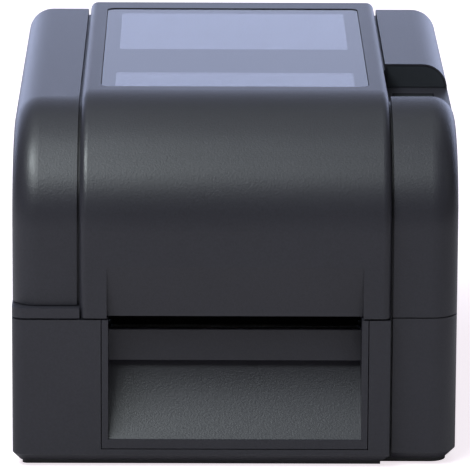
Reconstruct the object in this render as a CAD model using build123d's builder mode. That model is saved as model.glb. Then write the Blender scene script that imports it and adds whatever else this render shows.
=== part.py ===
from build123d import *
from math import cos, pi, radians, sin
import os

os.makedirs("parts", exist_ok=True)

# Desktop label printer: X to the right, Y to the rear, Z up from the desk
body_width = 204.0
body_depth = 280.0
body_height = 164.2
half_width = body_width / 2
front = -body_depth / 2
rear = body_depth / 2

# Fits and cuts that all pieces share
overrun = 10.0
fit_gap = 0.3
part_line = 0.4
shaft_gap = 0.05

# Lower case
case_bottom = 3.0
case_top = 70.1
case_wall = 3.0
case_front_wall = 12.0
case_chamfer = 3.5
case_corner = 5.5
case_inside = half_width - case_wall
flange_thickness = 2.5
flange_width = 14.0
flange_front_width = 32.0
flange_top = case_bottom + flange_thickness

# Split between the lid and the fixed tower on the right
spine_margin = 31.0
spine_half = half_width - spine_margin
split_gap = 1.2
split_clearance = 0.4
split_depth = 9.0
tower_inner = spine_half + split_gap
groove_depth = 3.0
cover_setback = 4.4
cover_drop = 3.2
cover_edge = 12.0
cover_wall = 2.5
cover_rear_inset = 5.0
cover_top = body_height - cover_drop
cover_front = front + cover_setback
cover_rear = rear - cover_rear_inset
rear_edge = 3.0

# Lid shape: upright front, one long bend, flat top
seam_gap = 0.8
lid_bottom = case_top + seam_gap
lid_rear_inset = 4.0
lid_rear = rear - lid_rear_inset
bend_rise = 52.5
crease_height = body_height - bend_rise
bend_depth = 63.0
bend_start = front + bend_depth
spine_edge = 3.5
lid_wall = 2.5
lid_front_wall = 3.0
roof_thickness = 3.6
roof_under = body_height - roof_thickness
lid_inside = spine_half - lid_wall

# Lid hinge at the rear, its axis along X
hinge_reach = 10.1
hinge_height = lid_bottom + hinge_reach
hinge_depth = lid_rear - hinge_reach
hinge_centre = (hinge_depth, hinge_height)
hinge_rod_radius = 3.0
hinge_eye_radius = 7.0
ear_thickness = 3.0
ear_slot_rise = 11.0

# Ledge band and left cover
band_rise = 4.6
band_top = lid_bottom + band_rise
band_wall = 3.5
band_depth = 8.0
cover_bottom = band_top + part_line
cover_split = 1.2
left_cover_inner = -spine_half - cover_split

# Exit hood in the lid's front
hood_margin = 12.4
hood_half = spine_half - hood_margin
hood_rise = 24.1
hood_top = lid_bottom + hood_rise
hood_depth = 5.0
hood_wall = 3.7

# Window in the lid's top, with a clear light at its rear and one at its front
window_margin = 8.8
window_half = spine_half - window_margin
window_land = 7.8
window_front = bend_start + window_land
window_rear_land = 18.0
window_rear = lid_rear - window_rear_land
window_corner = 4.0
window_thickness = 2.1
window_sink = 0.4
window_top = body_height - window_sink
window_under = window_top - window_thickness
rear_light_side = 7.2
rear_light_depth = 88.5
rear_light_end = 9.8
rear_light_stop = window_rear - rear_light_end
front_light_side = 6.4
front_light_depth = 32.3
front_light_end = 2.0
front_light_start = window_front + front_light_end
light_corner = 2.0

# Front insert with the label recess, and the tear bar's seat in its lip
insert_margin = 10.1
insert_half = spine_half - insert_margin
insert_bottom = 9.3
insert_depth = 23.5
insert_rear = front + insert_depth
insert_wall = 3.5
recess_frame = 2.9
recess_half = insert_half - recess_frame
recess_lip = 13.6
recess_foot_depth = 1.0
recess_foot = front + recess_foot_depth
recess_depth = 17.0
recess_back = front + recess_depth
lip_drop = 8.2
lip_height = case_top - lip_drop
lip_edge = 0.8
lip_thickness = 2.5
recess_rise = 15.0
recess_bend = lip_height - recess_rise
scoop_undercut = 4.5
scoop_back = recess_back + scoop_undercut
scoop_sag = 1.7
scoop_roof = 3.0
tear_depth = 3.5
tear_sink = 0.6
tear_front = insert_rear - tear_depth
tear_seat = lip_height - tear_sink

# Media bay
bay_margin = 10.5
bay_half = spine_half - bay_margin
plate_thickness = 2.0
plate_outer = bay_half + plate_thickness
plate_rear_inset = 6.0
plate_rear = rear - plate_rear_inset
bay_wall = 2.5
deck_drop = 6.1
deck_height = case_top - deck_drop
deck_under = deck_height - bay_wall

# Edge guides across the deck, and the round roll trough behind them
guide_depth = 85.0
guide_centre_y = front + guide_depth
trough_front_land = 38.0
trough_rear_land = 27.0
trough_floor = 13.0
trough_front = guide_centre_y + trough_front_land
trough_rear = rear - trough_rear_land
trough_radius = (trough_rear - trough_front) / 2
roll_centre = (trough_rear - trough_radius, trough_floor + trough_radius)

# Drive train, axes along X
platen_depth = 36.0
platen_drop = 12.1
platen_centre = (front + platen_depth, case_top - platen_drop)
platen_radius = 8.0
platen_gap = 3.5
platen_half = bay_half - platen_gap
platen_shaft_radius = 3.0
bushing_radius = 5.0
tooth_size = 1.0
gear_width = 2.6
gear_start = plate_outer + part_line
gear_end = gear_start + gear_width
tooth_width_share = 0.4
addendum_share = 0.85
dedendum_share = 1.25
tooth_flank_angle = 72.0
platen_teeth = 18
reduction_teeth = 22
pinion_teeth = 12
ribbon_teeth = 34
rewind_teeth = 48
reduction_angle = -40.0
pinion_angle = -30.0
ribbon_angle = 80.0
rewind_angle = 86.0
axle_radius = 2.5
motor_shaft_radius = 2.5

# Channel round the platen
channel_gap = 3.0
channel_space = 11.0
channel_floor = platen_centre[1] - platen_radius - channel_gap
channel_rear = platen_centre[0] + channel_space
channel_front = insert_rear + fit_gap
channel_top = lip_height - fit_gap


def gear_pitch(teeth):
    return tooth_size * teeth / 2


def meshed_centre(centre, teeth, next_teeth, angle):
    """Centre of the next gear, at the angle above +Y as seen from the right."""
    reach = gear_pitch(teeth) + gear_pitch(next_teeth)
    return (centre[0] + reach * cos(radians(angle)), centre[1] + reach * sin(radians(angle)))


def meshed_phase(phase, teeth, next_teeth, angle):
    """Angle of one tooth of the next gear, so that it stands between two teeth of this one."""
    share = (angle - phase) * teeth / 360
    return angle + 180 - (0.5 - share) * 360 / next_teeth


reduction_centre = meshed_centre(platen_centre, platen_teeth, reduction_teeth, reduction_angle)
motor_centre = meshed_centre(reduction_centre, reduction_teeth, pinion_teeth, pinion_angle)
ribbon_gear_centre = meshed_centre(platen_centre, platen_teeth, ribbon_teeth, ribbon_angle)
rewind_centre = meshed_centre(ribbon_gear_centre, ribbon_teeth, rewind_teeth, rewind_angle)
supply_depth = 95.0
supply_drop = 46.2
supply_centre = (front + supply_depth, body_height - supply_drop)
platen_phase = 0.0
reduction_phase = meshed_phase(platen_phase, platen_teeth, reduction_teeth, reduction_angle)
pinion_phase = meshed_phase(reduction_phase, reduction_teeth, pinion_teeth, pinion_angle)
ribbon_phase = meshed_phase(platen_phase, platen_teeth, ribbon_teeth, ribbon_angle)
rewind_phase = meshed_phase(ribbon_phase, ribbon_teeth, rewind_teeth, rewind_angle)

# Lid latch
latch_depth = 78.0
latch_drop = 20.1
latch_centre = (front + latch_depth, case_top - latch_drop)
latch_shaft_radius = 2.5
pawl_thickness = 2.0
pawl_end = lid_inside - fit_gap
pawl_start = pawl_end - pawl_thickness
catch_forward = 10.0
catch_rise = 28.0
catch_centre = (latch_centre[0] - catch_forward, latch_centre[1] + catch_rise)
catch_radius = 2.5

# Roll arms and edge guides, both pairs moved by racks
guide_travel = 46.0
rack_teeth = int(bay_half / (pi * tooth_size))
rack_bar = 4.0
rack_thickness = 3.0
guide_foot_half = 3.0
slot_half = guide_foot_half + fit_gap
slot_run_out = 6.5
slot_inner = bay_half - guide_travel - slot_run_out
edge_rack_drop = 3.5
edge_rack_top = deck_under - edge_rack_drop
roll_rack_drop = 2.5
roll_rack_top = trough_floor - bay_wall - roll_rack_drop
post_radius = 2.0

# Main board's place over the bottom plate
board_margin = 3.5
board_half = bay_half - board_margin
board_depth = 36.0
board_inset = 6.0
board_rear = rear - board_inset
board_front = board_rear - board_depth
board_bottom = 8.0


def save(part, name):
    part.label = name
    export_step(part, f"parts/{name}.step")


def block(x_span, y_span, z_span, mode=Mode.ADD):
    """Upright block between two values along each axis."""
    size = [high - low for low, high in (x_span, y_span, z_span)]
    middle = tuple((low + high) / 2 for low, high in (x_span, y_span, z_span))
    with Locations(middle):
        Box(*size, mode=mode)


def rod(x_start, x_end, centre, radius, mode=Mode.ADD):
    """Round bar along X."""
    with BuildSketch(Plane.YZ.offset(x_start)) as disc:
        with Locations(centre):
            Circle(radius)
    extrude(disc.sketch, amount=x_end - x_start, mode=mode)


def posts(places, z_low, z_high, radius, mode=Mode.ADD):
    """Round bars along Z, one at each place."""
    with BuildSketch(Plane.XY.offset(z_low)) as discs:
        with Locations(*places):
            Circle(radius)
    extrude(discs.sketch, amount=z_high - z_low, mode=mode)


def four_places(x_spacing, y_spacing, middle_y=0.0):
    """Corners of a rectangle about the middle."""
    return [
        (x * x_spacing / 2, middle_y + y * y_spacing / 2) for x in (-1, 1) for y in (-1, 1)
    ]


def side_plate(x_start, x_end, points, mode=Mode.ADD):
    """Plate with a straight-sided outline, given by its points in the side view."""
    with BuildSketch(Plane.YZ.offset(x_start)) as side:
        with BuildLine():
            Polyline(*points, close=True)
        make_face()
    extrude(side.sketch, amount=x_end - x_start, mode=mode)


def case_plan(height, inset):
    """Plan of the case at a height, moved in all round by the inset."""
    split = spine_half + split_gap / 2
    with BuildSketch(Plane.XY.offset(height)) as plan:
        for x_low, x_high, y_low in (
            (inset - half_width, split - inset, front + inset),
            (-split, half_width - inset, cover_front + inset),
        ):
            with Locations(((x_low + x_high) / 2, (y_low + rear - inset) / 2)):
                Rectangle(x_high - x_low, rear - inset - y_low)
        fillet(plan.vertices().sort_by(lambda v: v.X + v.Y)[0], case_corner - min(inset, case_wall))
        fillet(plan.vertices().sort_by(lambda v: v.X + v.Y)[-1], case_corner - min(inset, case_wall))
        fillet(plan.vertices().sort_by(lambda v: v.X - v.Y)[0], case_corner - min(inset, case_wall))
        fillet(plan.vertices().sort_by(lambda v: v.X - v.Y)[-1], cover_edge - inset)
    return plan.sketch


def bent_side(x, front_y, top_z, rear_y, bottom_z):
    """Side view of a cover: upright front, quarter ellipse, flat top, upright rear."""
    with BuildSketch(Plane.YZ.offset(x)) as side:
        with BuildLine():
            Line((front_y, bottom_z), (front_y, crease_height))
            EllipticalCenterArc(
                (bend_start, crease_height),
                bend_start - front_y,
                top_z - crease_height,
                start_angle=90,
                arc_size=90,
            )
            Polyline((bend_start, top_z), (rear_y, top_z), (rear_y, bottom_z), (front_y, bottom_z))
        make_face()
    return side.sketch


def top_rim(face, bottom_z, rear_y):
    """Edges of a cover's side face without its foot and its rear edge."""
    return [
        edge
        for edge in face.edges()
        if edge.center().Z > bottom_z + part_line and edge.center().Y < rear_y - part_line
    ]


def rear_top_edge(part):
    return part.faces().sort_by(Axis.Y)[-1].edges().sort_by(Axis.Z)[-1]


def rounded_cover(inner_x, outer_x, inset, bottom_z):
    """Solid of an outer cover, its outer top edge broad and its rear edge small."""
    x_low, x_high = sorted((inner_x, outer_x))
    with BuildPart() as body:
        side = bent_side(
            x_low, cover_front + inset, cover_top - inset, cover_rear - inset, bottom_z
        )
        extrude(side, amount=x_high - x_low)
        outer_face = body.faces().sort_by(Axis.X)[-1 if outer_x > inner_x else 0]
        fillet(top_rim(outer_face, bottom_z, cover_rear - inset), cover_edge - inset)
        fillet(rear_top_edge(body), rear_edge)
    return body.part


def hinge_round(x_low, x_high):
    """What the lid loses at its lower rear corner, to swing round the hinge."""
    with BuildPart() as corner:
        with BuildSketch(Plane.YZ.offset(x_low)) as waste:
            with Locations((hinge_depth, hinge_height)):
                Rectangle(
                    hinge_reach + overrun, hinge_reach + overrun, align=(Align.MIN, Align.MAX)
                )
                Circle(hinge_reach, mode=Mode.SUBTRACT)
        extrude(waste.sketch, amount=x_high - x_low)
    return corner.part


def gear(x_start, centre, teeth, phase, bore, mode=Mode.ADD):
    """Spur gear with its axis along X and one tooth at the phase angle."""
    root = gear_pitch(teeth) - dedendum_share * tooth_size
    tip = gear_pitch(teeth) + addendum_share * tooth_size
    sink = dedendum_share * tooth_size / 2
    foot = tooth_width_share * pi * tooth_size + 2 * dedendum_share * tooth_size / 3
    with BuildSketch(Plane.YZ.offset(x_start)) as wheel:
        with Locations(centre):
            Circle(root)
            with PolarLocations((root - sink + tip) / 2, teeth, phase):
                Trapezoid(foot, tip - root + sink, tooth_flank_angle, rotation=-90)
            Circle(bore, mode=Mode.SUBTRACT)
    extrude(wheel.sketch, amount=gear_width, mode=mode)


def upright_pinion(centre, z_top, bore):
    """Small gear on an upright post, meshing with a rack on either side."""
    root = gear_pitch(pinion_teeth) - dedendum_share * tooth_size
    tip = gear_pitch(pinion_teeth) + addendum_share * tooth_size
    sink = dedendum_share * tooth_size / 2
    foot = tooth_width_share * pi * tooth_size + 2 * dedendum_share * tooth_size / 3
    with BuildSketch(Plane.XY.offset(z_top - rack_thickness)) as wheel:
        with Locations(centre):
            Circle(root)
            with PolarLocations((root - sink + tip) / 2, pinion_teeth):
                Trapezoid(foot, tip - root + sink, tooth_flank_angle, rotation=-90)
            Circle(bore, mode=Mode.SUBTRACT)
    extrude(wheel.sketch, amount=rack_thickness)


def rack(side, centre_y, z_top, foot_outer):
    """Rack of the guide on one side: -1 left, behind the pinion; 1 right, before it."""
    pitch = pi * tooth_size
    away = -side
    pitch_line = centre_y + away * gear_pitch(pinion_teeth)
    root_line = pitch_line + away * dedendum_share * tooth_size
    tip_line = pitch_line - away * addendum_share * tooth_size
    bar_line = root_line + away * rack_bar
    inner_end = -side * 2 * pitch
    foot = tooth_width_share * pitch + 2 * dedendum_share * tooth_size / 3
    tooth_height = abs(root_line - tip_line) + rack_bar / 4
    tooth_middle = tip_line + away * tooth_height / 2
    foot_inner = foot_outer - side * 2 * guide_foot_half
    with BuildSketch(Plane.XY.offset(z_top - rack_thickness)) as bar:
        with Locations(((foot_outer + inner_end) / 2, (root_line + bar_line) / 2)):
            Rectangle(abs(foot_outer - inner_end), rack_bar)
        for index in range(rack_teeth):
            with Locations((inner_end + side * (index + 0.5) * pitch, tooth_middle)):
                Trapezoid(foot, tooth_height, tooth_flank_angle, rotation=90 + away * 90)
        foot_start = centre_y - away * guide_foot_half
        with Locations(((foot_outer + foot_inner) / 2, (foot_start + bar_line) / 2)):
            Rectangle(abs(foot_outer - foot_inner), abs(bar_line - foot_start))
    extrude(bar.sketch, amount=rack_thickness)


# Screws that hold the bottom plate, placed first because the case has their holes
screw_inset = 11.0
screw_end = 45.0
screw_places = four_places(body_width - 2 * screw_inset, body_depth - 2 * screw_end)
screw_radius = 1.5
screw_head_radius = 2.8
screw_head_height = 0.8

# Lower case: open tub with a floor flange, the label insert's opening and rear cut-outs
insert_gap = part_line
rear_slot_margin = 2.5
rear_slot_half = bay_half - rear_slot_margin
port_margin = 1.0
rear_port_half = board_half - port_margin
rear_port_z = (9.2, 29.0)
lever_hub = 7.0
lever_reach = 15.0
lever_tip = 4.5
lever_low = 2.0
lever_gap = 0.7
lever_window_y = (
    latch_centre[0] - lever_reach - lever_tip - lever_gap,
    latch_centre[0] + lever_hub + lever_gap,
)
lever_window_z = (
    latch_centre[1] - lever_low - lever_tip - 3 * lever_gap,
    latch_centre[1] + lever_hub + 3 * lever_gap,
)
with BuildPart() as lower_case:
    extrude(case_plan(case_bottom, 0), amount=case_top - case_bottom)
    chamfer(lower_case.faces().sort_by(Axis.Z)[0].edges(), case_chamfer)
    block(
        (spine_half, tower_inner),
        (front - overrun, front + split_depth),
        (case_bottom - overrun, case_top + overrun),
        Mode.SUBTRACT,
    )
    block(
        (-case_inside, case_inside),
        (front + case_front_wall, rear - case_wall),
        (flange_top, case_top + overrun),
        Mode.SUBTRACT,
    )
    block(
        (flange_width - half_width, half_width - flange_width),
        (front + flange_front_width, rear - flange_width),
        (case_bottom - overrun, flange_top + overrun),
        Mode.SUBTRACT,
    )
    block(
        (-insert_half - insert_gap, insert_half + insert_gap),
        (front - overrun, front + case_front_wall + overrun),
        (insert_bottom - insert_gap, case_top + overrun),
        Mode.SUBTRACT,
    )
    block(
        (-rear_slot_half, rear_slot_half),
        (rear - case_wall - overrun, rear + overrun),
        (deck_height + fit_gap, case_top + overrun),
        Mode.SUBTRACT,
    )
    block(
        (-rear_port_half, rear_port_half),
        (rear - case_wall - overrun, rear + overrun),
        rear_port_z,
        Mode.SUBTRACT,
    )
    block(
        (-half_width - overrun, -case_inside + overrun),
        lever_window_y,
        lever_window_z,
        Mode.SUBTRACT,
    )
    posts(screw_places, case_bottom, flange_top, screw_radius + shaft_gap, Mode.SUBTRACT)
save(lower_case.part, "lower_case")

# Bottom plate with foot pockets, screw seats and board stand-offs
base_plate_inset = 4.5
base_plate_bottom = 1.0
foot_radius = 7.0
foot_height = 2.0
foot_inset = 18.0
foot_end = 22.0
foot_places = four_places(body_width - 2 * foot_inset, body_depth - 2 * foot_end)
standoff_inset = 9.0
standoff_front = 6.0
standoff_pitch = 16.0
standoff_places = four_places(
    2 * (board_half - standoff_inset),
    standoff_pitch,
    board_front + standoff_front + standoff_pitch / 2,
)
standoff_radius = 3.0
with BuildPart() as bottom_plate:
    extrude(case_plan(base_plate_bottom, base_plate_inset), amount=case_bottom - base_plate_bottom)
    posts(foot_places, base_plate_bottom, foot_height, foot_radius + fit_gap, Mode.SUBTRACT)
    posts(screw_places, base_plate_bottom, case_bottom, screw_radius + shaft_gap, Mode.SUBTRACT)
    posts(
        screw_places,
        base_plate_bottom,
        base_plate_bottom + screw_head_height,
        screw_head_radius + fit_gap,
        Mode.SUBTRACT,
    )
    posts(standoff_places, case_bottom, board_bottom, standoff_radius)
save(bottom_plate.part, "bottom_plate")

with BuildPart() as rubber_feet:
    posts(foot_places, 0, foot_height, foot_radius)
    chamfer(rubber_feet.faces().sort_by(Axis.Z)[:4].edges(), foot_height / 4)
save(rubber_feet.part, "rubber_feet")

with BuildPart() as case_screws:
    posts(screw_places, base_plate_bottom, flange_top, screw_radius)
    posts(
        screw_places, base_plate_bottom, base_plate_bottom + screw_head_height, screw_head_radius
    )
save(case_screws.part, "case_screws")


def cut_by_slope(shift, far_points):
    """Cut on one side of the label slope: its shallow arc, moved back by a shift, and straight runs."""
    foot = (recess_foot + shift, recess_lip)
    top = (scoop_back + shift, recess_bend)
    with BuildSketch(Plane.YZ.offset(-recess_half)) as side:
        with BuildLine():
            SagittaArc(foot, top, -scoop_sag)
            Polyline(top, *far_points, foot)
        make_face()
    extrude(side.sketch, amount=2 * recess_half, mode=Mode.SUBTRACT)


# Front insert: a frame flush with the case round a label recess, whose slope starts under an upright face
with BuildPart() as front_panel:
    block((-insert_half, insert_half), (front, insert_rear), (insert_bottom, case_top))
    side_plate(
        -recess_half,
        recess_half,
        [
            (front - overrun, recess_bend),
            (recess_back, recess_bend),
            (recess_back, lip_height),
            (tear_front, lip_height),
            (tear_front, tear_seat),
            (insert_rear + overrun, tear_seat),
            (insert_rear + overrun, case_top + overrun),
            (front - overrun, case_top + overrun),
        ],
        Mode.SUBTRACT,
    )
    cut_by_slope(0, [(front - overrun, recess_bend), (front - overrun, recess_lip)])
    cut_by_slope(
        insert_wall,
        [
            (scoop_back + insert_wall, insert_bottom - overrun),
            (recess_foot + insert_wall, insert_bottom - overrun),
        ],
    )
    block(
        (-recess_half, recess_half),
        (recess_back + insert_wall, insert_rear + overrun),
        (recess_bend + scoop_roof, tear_seat - lip_thickness),
        Mode.SUBTRACT,
    )
    lip_line = front_panel.edges().filter_by(Axis.X).sort_by_distance((0, recess_back, lip_height))
    fillet(lip_line[0], lip_edge)
save(front_panel.part, "front_panel")

# Tear bar: thin steel strip with a finely toothed front edge, let into the lip
tear_height = 0.9
tear_tooth = 0.6
tear_count = 57
tear_pitch = 2 * platen_half / tear_count
with BuildPart() as tear_bar:
    with BuildSketch(Plane.XY.offset(tear_seat)):
        with Locations((0, (tear_front + insert_rear) / 2)):
            Rectangle(2 * platen_half, tear_depth)
        with Locations((0, tear_front)):
            with GridLocations(tear_pitch, 0, tear_count, 1):
                Polygon(
                    (-tear_pitch / 2, 0), (tear_pitch / 2, 0), (0, tear_tooth),
                    align=None, mode=Mode.SUBTRACT,
                )
    extrude(amount=tear_height)
save(tear_bar.part, "tear_bar")

# Inner moulding: platen channel, deck, round roll trough, side plates and hinge ears
ear_start = plate_outer + part_line
ear_end = ear_start + ear_thickness
ear_radius = hinge_reach - fit_gap
bearing_rise = 9.5
bearing_height = platen_centre[1] + bearing_rise
bearing_half = 10.0
trough_under = trough_floor - bay_wall
gear_well_front = 12.0
gear_well_rear = 12.5
gear_well_y = (platen_centre[0] - gear_well_front, platen_centre[0] + gear_well_rear)
pawl_well_front = 15.0
pawl_well_rear = 13.0
pawl_well_start = pawl_start - fit_gap
pawl_well_y = (latch_centre[0] - pawl_well_front, latch_centre[0] + pawl_well_rear)
with BuildPart() as media_chassis:
    with BuildSketch(Plane.YZ.offset(-bay_half)):
        for y_span, z_span in (
            ((channel_front, channel_front + bay_wall), (channel_floor - bay_wall, channel_top)),
            ((channel_front, channel_rear + bay_wall), (channel_floor - bay_wall, channel_floor)),
            ((channel_rear, channel_rear + bay_wall), (channel_floor - bay_wall, deck_height)),
            ((channel_rear, trough_front), (deck_under, deck_height)),
            ((roll_centre[0], rear - case_wall - fit_gap), (deck_under, deck_height)),
        ):
            with Locations((sum(y_span) / 2, sum(z_span) / 2)):
                Rectangle(y_span[1] - y_span[0], z_span[1] - z_span[0])
        with BuildSketch(Plane.YZ.offset(-bay_half)):
            with Locations(roll_centre):
                Circle(trough_radius + bay_wall)
            with Locations((roll_centre[0], deck_height)):
                Rectangle(
                    4 * trough_radius, 4 * trough_radius,
                    align=(Align.CENTER, Align.MAX), mode=Mode.INTERSECT,
                )
        with Locations(roll_centre):
            Circle(trough_radius, mode=Mode.SUBTRACT)
    extrude(amount=2 * bay_half)
    for side in (-1, 1):
        plate_x = sorted((side * bay_half, side * plate_outer))
        block(plate_x, (channel_front, plate_rear), (flange_top, deck_height))
        block(
            plate_x,
            (platen_centre[0] - bearing_half, platen_centre[0] + bearing_half),
            (deck_under, bearing_height),
        )
        block(
            sorted((side * plate_outer, side * (case_inside - fit_gap))),
            (front + case_front_wall + fit_gap, rear - case_wall - fit_gap),
            (deck_under, deck_height),
        )
        block(
            sorted((side * pawl_well_start, side * lid_inside)),
            pawl_well_y,
            (deck_under - overrun, deck_height + overrun),
            Mode.SUBTRACT,
        )
        ear_x = sorted((side * ear_start, side * ear_end))
        block(
            ear_x,
            (hinge_depth - ear_radius, hinge_depth + ear_radius),
            (deck_under, hinge_height),
        )
        rod(*ear_x, hinge_centre, ear_radius)
        guide_slot = sorted((side * slot_inner, side * bay_half))
        block(
            guide_slot,
            (guide_centre_y - slot_half, guide_centre_y + slot_half),
            (deck_under - overrun, deck_height + overrun),
            Mode.SUBTRACT,
        )
        block(
            guide_slot,
            (roll_centre[0] - slot_half, roll_centre[0] + slot_half),
            (trough_under - overrun, trough_under + overrun),
            Mode.SUBTRACT,
        )
    block(
        (plate_outer, lid_inside),
        gear_well_y,
        (deck_under - overrun, deck_height + overrun),
        Mode.SUBTRACT,
    )
    rod(-ear_end, ear_end, hinge_centre, hinge_rod_radius + shaft_gap, Mode.SUBTRACT)
    rod(-plate_outer, plate_outer, platen_centre, bushing_radius + shaft_gap, Mode.SUBTRACT)
    rod(-plate_outer, plate_outer, latch_centre, latch_shaft_radius + shaft_gap, Mode.SUBTRACT)
    rod(plate_outer, gear_end + part_line, reduction_centre, axle_radius)
    posts([(0, guide_centre_y)], edge_rack_top - rack_thickness, deck_under, post_radius)
    posts(
        [(0, roll_centre[0])], roll_rack_top - rack_thickness, trough_under + bay_wall / 2, post_radius
    )
save(media_chassis.part, "media_chassis")

# Hinge rod through both ears and both lid eyes
with BuildPart() as hinge_rod:
    rod(-ear_end, ear_end, hinge_centre, hinge_rod_radius)
save(hinge_rod.part, "hinge_rod")

# Platen: rubber sleeve on a steel shaft in two bushings
with BuildPart() as platen_bushings:
    for side in (-1, 1):
        span = sorted((side * bay_half, side * plate_outer))
        rod(*span, platen_centre, bushing_radius)
        rod(*span, platen_centre, platen_shaft_radius + shaft_gap, Mode.SUBTRACT)
save(platen_bushings.part, "platen_bushings")

with BuildPart() as platen_shaft:
    rod(-plate_outer - part_line, gear_end + part_line, platen_centre, platen_shaft_radius)
    chamfer(platen_shaft.edges().filter_by(GeomType.CIRCLE), part_line)
save(platen_shaft.part, "platen_shaft")

with BuildPart() as platen_roller:
    rod(-platen_half, platen_half, platen_centre, platen_radius)
    rod(-platen_half, platen_half, platen_centre, platen_shaft_radius + shaft_gap, Mode.SUBTRACT)
save(platen_roller.part, "platen_roller")

with BuildPart() as platen_gear:
    gear(gear_start, platen_centre, platen_teeth, platen_phase, platen_shaft_radius + shaft_gap)
save(platen_gear.part, "platen_gear")

with BuildPart() as reduction_gear:
    gear(gear_start, reduction_centre, reduction_teeth, reduction_phase, axle_radius + shaft_gap)
save(reduction_gear.part, "reduction_gear")

# Stepper motor behind a steel bracket, its pinion in the gear plane
motor_size = 42.0
motor_gap = 6.5
motor_start = gear_end + motor_gap
motor_length = 25.0
motor_bore_end = motor_start + motor_length / 2
motor_corner = 5.0
motor_boss_radius = 11.0
bracket_thickness = 1.6
bracket_margin = 2.0
with BuildPart() as drive_motor:
    with BuildSketch(Plane.YZ.offset(motor_start)):
        with Locations(motor_centre):
            RectangleRounded(motor_size, motor_size, motor_corner)
    extrude(amount=motor_length)
    chamfer(drive_motor.faces().filter_by(Axis.X).edges(), part_line)
    rod(motor_start - bracket_thickness, motor_start, motor_centre, motor_boss_radius)
    rod(
        motor_start - bracket_thickness, motor_bore_end, motor_centre,
        motor_shaft_radius + shaft_gap, Mode.SUBTRACT,
    )
save(drive_motor.part, "drive_motor")

with BuildPart() as motor_bracket:
    block(
        (motor_start - bracket_thickness, motor_start),
        (
            motor_centre[0] - motor_size / 2 - bracket_margin,
            motor_centre[0] + motor_size / 2 + bracket_margin,
        ),
        (motor_centre[1] - motor_size / 2, deck_under),
    )
    rod(
        motor_start - bracket_thickness, motor_start, motor_centre,
        motor_boss_radius + fit_gap, Mode.SUBTRACT,
    )
save(motor_bracket.part, "motor_bracket")

with BuildPart() as motor_pinion:
    gear(gear_start, motor_centre, pinion_teeth, pinion_phase, motor_shaft_radius + shaft_gap)
save(motor_pinion.part, "motor_pinion")

with BuildPart() as motor_shaft:
    rod(gear_start - part_line, motor_bore_end - part_line, motor_centre, motor_shaft_radius)
save(motor_shaft.part, "motor_shaft")

# Latch: cross shaft with a pawl at each side and a finger lever in the left wall
pawl_arm = 6.0
pawl_nose_rise = 6.0
pawl_seat_gap = 2.0
pawl_top = catch_centre[1] + pawl_nose_rise
pawl_face = catch_centre[0] + catch_radius + fit_gap
pawl_seat_front = catch_centre[0] - catch_radius
pawl_seat_top = catch_centre[1] - catch_radius - pawl_seat_gap
pawl_seat_height = 4.0
with BuildPart() as latch_pawls:
    for side in (-1, 1):
        span = sorted((side * pawl_start, side * pawl_end))
        side_plate(
            *span,
            [
                (latch_centre[0] - pawl_arm, latch_centre[1]),
                (pawl_face, pawl_seat_top - 2 * pawl_seat_height),
                (pawl_seat_front, pawl_seat_top - pawl_seat_height),
                (pawl_seat_front, pawl_seat_top),
                (pawl_face, pawl_seat_top),
                (pawl_face, pawl_top - pawl_arm / 2),
                (pawl_face + pawl_arm / 2, pawl_top),
                (pawl_face + pawl_arm, pawl_top),
                (latch_centre[0] + pawl_arm, latch_centre[1]),
            ],
        )
        rod(*span, latch_centre, pawl_arm)
        rod(*span, latch_centre, latch_shaft_radius + shaft_gap, Mode.SUBTRACT)
save(latch_pawls.part, "latch_pawls")

lever_face = 0.6
lever_thickness = 3.0
lever_start = lever_face - half_width
lever_end = lever_start + lever_thickness
lever_bore = lever_end - lever_thickness / 2
with BuildPart() as release_lever:
    with BuildSketch(Plane.YZ.offset(lever_start)):
        with BuildSketch(mode=Mode.PRIVATE) as round_ends:
            with Locations(latch_centre):
                Circle(lever_hub)
            with Locations((latch_centre[0] - lever_reach, latch_centre[1] - lever_low)):
                Circle(lever_tip)
        make_hull(round_ends.edges())
    extrude(amount=lever_thickness)
    rod(lever_bore, lever_end, latch_centre, latch_shaft_radius + shaft_gap, Mode.SUBTRACT)
save(release_lever.part, "release_lever")

with BuildPart() as latch_shaft:
    rod(lever_bore, pawl_end, latch_centre, latch_shaft_radius)
save(latch_shaft.part, "latch_shaft")

# Edge guides on the deck, each on a rack under it
edge_guide_gap = 0.5
edge_guide_outer = bay_half - edge_guide_gap
edge_guide_thickness = 2.5
edge_guide_front = 27.0
edge_guide_rear = 17.0
edge_guide_y = (guide_centre_y - edge_guide_front, guide_centre_y + edge_guide_rear)
edge_guide_height = 6.1
edge_guide_bottom = deck_height + fit_gap
edge_guide_top = edge_guide_bottom + edge_guide_height
for side, word in ((-1, "left"), (1, "right")):
    guide_x = sorted((side * edge_guide_outer, side * (edge_guide_outer - edge_guide_thickness)))
    with BuildPart() as edge_guide:
        block(guide_x, edge_guide_y, (edge_guide_bottom, edge_guide_top))
        fillet(
            edge_guide.edges().filter_by(Axis.X).group_by(Axis.Z)[-1],
            edge_guide_height / 2,
        )
        block(
            guide_x,
            (guide_centre_y - guide_foot_half, guide_centre_y + guide_foot_half),
            (edge_rack_top, edge_guide_bottom),
        )
    save(edge_guide.part, f"edge_guide_{word}")
    with BuildPart() as guide_rack:
        rack(side, guide_centre_y, edge_rack_top, side * edge_guide_outer)
    save(guide_rack.part, f"edge_rack_{word}")

with BuildPart() as edge_pinion:
    upright_pinion((0, guide_centre_y), edge_rack_top, post_radius + shaft_gap)
save(edge_pinion.part, "edge_pinion")

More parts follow.
